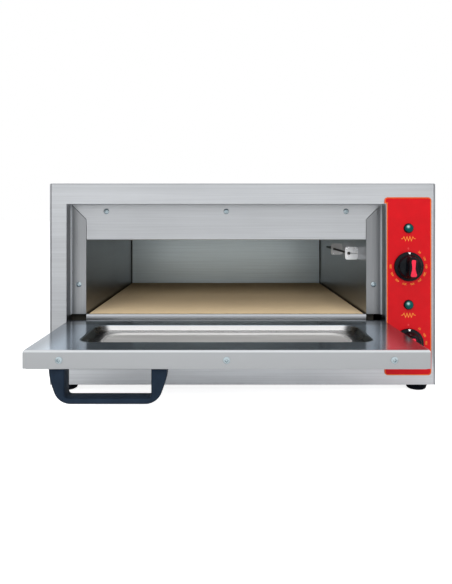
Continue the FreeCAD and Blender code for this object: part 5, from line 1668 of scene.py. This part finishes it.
@dataclass
class Fasteners:
    """Pan head screws with a cross recess, in place of the plain ones of the model."""

    head: float = 4.05 * MM
    rise: float = 2.2 * MM
    fall: float = 0.62
    fall_power: float = 3.2
    shank: float = 2.0 * MM
    length: float = 9.0 * MM
    slot_half: float = 0.55 * MM
    slot_reach: float = 2.1 * MM
    slot_depth: float = 1.3 * MM
    slot_flank: tuple[float, float] = (1.25, 0.75)
    slot_end: float = 0.6
    rings: int = 22
    steps: int = 48

    def build(self) -> Pieces:
        """Make each group of screws at the places of the model's own.

        Returns:
            The groups, one by one.
        """
        screw = self.screw()
        finish = ZINC.material()
        for node, body, sides in (("lip_screws", "casing", (Facing.FRONT,)),
                                  ("door_edge_screws", "door", (Facing.FRONT,)),
                                  ("rear_screws", "casing", (Facing.REAR,)),
                                  ("cover_screws", "casing", (Facing.LEFT, Facing.RIGHT))):
            group = [self.seated(screw, sides[-1 if spot[0] > 0.0 else 0], spot, span(node))
                     for spot in middles(node)]
            yield piece(f"{node}_crossed", joined(group), body, "zinc_screw", finish, [node])

    def screw(self) -> Shape:
        """Return one screw, head up on Z = 0.

        The head is a grid of radius by angle. Its height is a dome, rise * (1 - fall * s^power) with s the
        share of the radius, less the recess, which is a ramp of the distance to the arms of a cross.

        Returns:
            The surface.
        """
        share = np.linspace(0.0, 1.0, self.rings)[:, None]
        angle = circle(self.steps)
        x, y = share * self.head * np.cos(angle), share * self.head * np.sin(angle)
        across, along = np.minimum(np.abs(x), np.abs(y)), np.maximum(np.abs(x), np.abs(y))
        edge, bed = self.slot_flank
        arm = np.clip((self.slot_half * edge - across) / (self.slot_half * (edge - bed)), 0.0, 1.0)
        reach = np.clip((self.slot_reach - along) / (self.slot_half * self.slot_end), 0.0, 1.0)
        height = self.rise * (1.0 - self.fall * share ** self.fall_power) - self.slot_depth * arm * reach
        below = [(self.head, 0.0), (self.shank, 0.0), (self.shank, -self.length), (0.0, -self.length)]
        return grid(np.concatenate([np.stack([x, y, height], axis=-1), swept(below, self.steps)]))

    def seated(self, screw: Shape, side: Facing, spot: Array, box: tuple[Array, Array]) -> Shape:
        """Return a screw turned to its side, with its head's top level with the model's own.

        Args:
            screw: The screw, head up.
            side: Side that it looks to.
            spot: Middle of the model's screw.
            box: Lowest and highest corner of the group.

        Returns:
            The placed screw.
        """
        x, y, z = screw.points.T
        axis, way = side.value
        turned = (-way * x, way * z, y) if axis == 1 else (way * z, way * x, y)
        seat = spot.copy()
        seat[axis] = box[0][axis] + self.rise if way < 0.0 else box[1][axis] - self.rise
        return Shape(np.stack(turned, axis=-1), screw.faces).moved(seat)


@dataclass
class Feet:
    """Round rubber feet with a soft lower edge and a sunk screw seat."""

    radius: float = 16.0 * MM
    base: float = 11.5 * MM
    height: float = 13.0 * MM
    hole: float = 2.2 * MM
    seat: float = 5.5 * MM
    sink: float = 6.0 * MM
    lip: float = 0.8 * MM
    collar: float = 6.0 * MM
    collar_swell: tuple[float, float, float] = (1.0 * MM, 0.2 * MM, 1.8 * MM)
    crown: float = 1.2 * MM
    #: how far the lower edge goes out from the base, and up
    toe: tuple[tuple[float, float], ...] = ((-1.0 * MM, 0.0), (0.7 * MM, 0.45 * MM), (2.2 * MM, 1.6 * MM))
    steps: int = 56

    def build(self) -> Pieces:
        """Turn one profile and set it at each foot of the model.

        Returns:
            The feet.
        """
        below, above, rise = self.collar_swell
        ledge = self.height - self.collar
        profile = [(self.hole, self.sink), (self.seat, self.sink), (self.seat, self.lip)]
        profile += rounded((self.seat + self.lip, self.lip), 180.0, 270.0, self.lip, 4)
        profile += [(self.base + out, level) for out, level in self.toe]
        profile += [(self.radius - below, ledge - rise), (self.radius - above, ledge)]
        profile += rounded((self.radius - self.crown, self.height - self.crown), 0.0, 90.0, self.crown, 5)
        profile += [(self.hole, self.height), (self.hole, self.sink)]
        foot = grid(swept(profile, self.steps))
        feet = joined([foot.moved((x, y, 0.0)) for x, y, _ in middles("feet")])
        yield piece("feet_soft_edged", feet, "casing", "foot_rubber", RUBBER.material(), ["feet"])


@dataclass(frozen=True)
class Softbox:
    """A lamp that lights the object, and that steel, which shows the white room, doesn't mirror."""

    name: str
    spot: tuple[float, float, float]
    target: tuple[float, float, float]
    size: tuple[float, float]
    watts: float

    def build(self) -> None:
        """Set up the lamp and point it at its target."""
        light = bpy.data.lights.new(self.name, "AREA")
        light.shape = "RECTANGLE"
        light.size, light.size_y = self.size
        light.energy = self.watts
        holder = placed(self.name, light)
        holder.location = self.spot
        holder.visible_glossy = False
        holder.rotation_euler = (Vector(self.target) - Vector(self.spot)).to_track_quat("-Z", "Y").to_euler()


@dataclass
class Studio:
    """Pale floor, white surroundings, soft lamps and the camera."""

    lens: float = 34.256
    reach: float = 0.8
    aside: float = -0.0253
    height: float = 0.2539
    shift: tuple[float, float] = (0.0017, -0.1276)
    near: float = 0.01
    fill: float = 0.28
    floor_side: float = 40.0
    floor_tone: float = 0.86
    floor_glow: float = 0.75
    floor_mirrored: float = 0.05
    lamps: tuple[Softbox, ...] = (
        Softbox("front_softbox", (-0.1, -2.35, 0.95), (0.0, -0.1, 0.15), (3.0, 0.9), 38.0),
        Softbox("top_softbox", (0.0, -1.15, 1.65), (0.0, -0.15, 0.12), (2.8, 1.4), 18.0))

    def build(self) -> None:
        """Set up the room, the lamps and the camera of the photo's view."""
        scene = bpy.context.scene
        scene.view_settings.view_transform = "Standard"
        scene.world = self.world()
        self.floor()
        for lamp in self.lamps:
            lamp.build()
        camera = bpy.data.cameras.new("photo_camera")
        camera.lens = self.lens
        camera.shift_x, camera.shift_y = self.shift
        camera.clip_start = self.near
        holder = placed("photo_camera", camera)
        holder.location = (self.aside, span("front_panel")[0][1] - self.reach, self.height)
        holder.rotation_euler = (np.pi / 2.0, 0.0, 0.0)
        scene.camera = holder

    def world(self) -> bpy.types.World:
        """Make surroundings that are white where they are seen or mirrored, and softer as a light.

        Returns:
            The world.
        """
        desk = Desk(bpy.data.worlds.new("white_room"), "ShaderNodeMixShader", "ShaderNodeOutputWorld")
        soft, white = (desk.add("ShaderNodeBackground", None, {"Color": (*WHITE, 1.0), "Strength": strength})
                       for strength in (self.fill, 1.0))
        desk.feed(desk.shader, {0: desk.seen(), 1: soft, 2: white})
        return desk.owner

    def floor(self) -> None:
        """Make a pale floor that keeps a soft shadow and fades into the white."""
        side = self.floor_side
        mesh = bpy.data.meshes.new("studio_floor")
        mesh.from_pydata([(-side, -side, 0.0), (side, -side, 0.0), (side, side, 0.0), (-side, side, 0.0)], [],
                         [(0, 1, 2, 3)])
        desk = Desk.of_material("studio_floor")
        glow = desk.seen() * self.floor_mirrored + desk.ray("Camera") * self.floor_glow
        mesh.materials.append(desk.finish(
            Base_Color=(self.floor_tone, self.floor_tone, self.floor_tone, 1.0), Roughness=0.9,
            Emission_Strength=1.0, Emission_Color=desk.mix(glow, SHADE_BLACK, WHITE)))
        placed("studio_floor", mesh)


def main() -> None:
    """Dress the model, add and report the detailed pieces, and set up the view."""
    logging.basicConfig(level=logging.INFO, format="%(name)s: %(message)s")
    for assembly in (Carried(), FrontPanel(), Lips(), Door(), Handle(), Knob("top"), Knob("bottom"),
                     ControlColumn(), PilotLamps(), BulbClips(), Fasteners(), Feet()):
        for made in assembly.build():
            LOG.info("%s: %d faces", made.name, len(made.data.polygons))
    Studio().build()


if __name__ == "__main__":
    main()
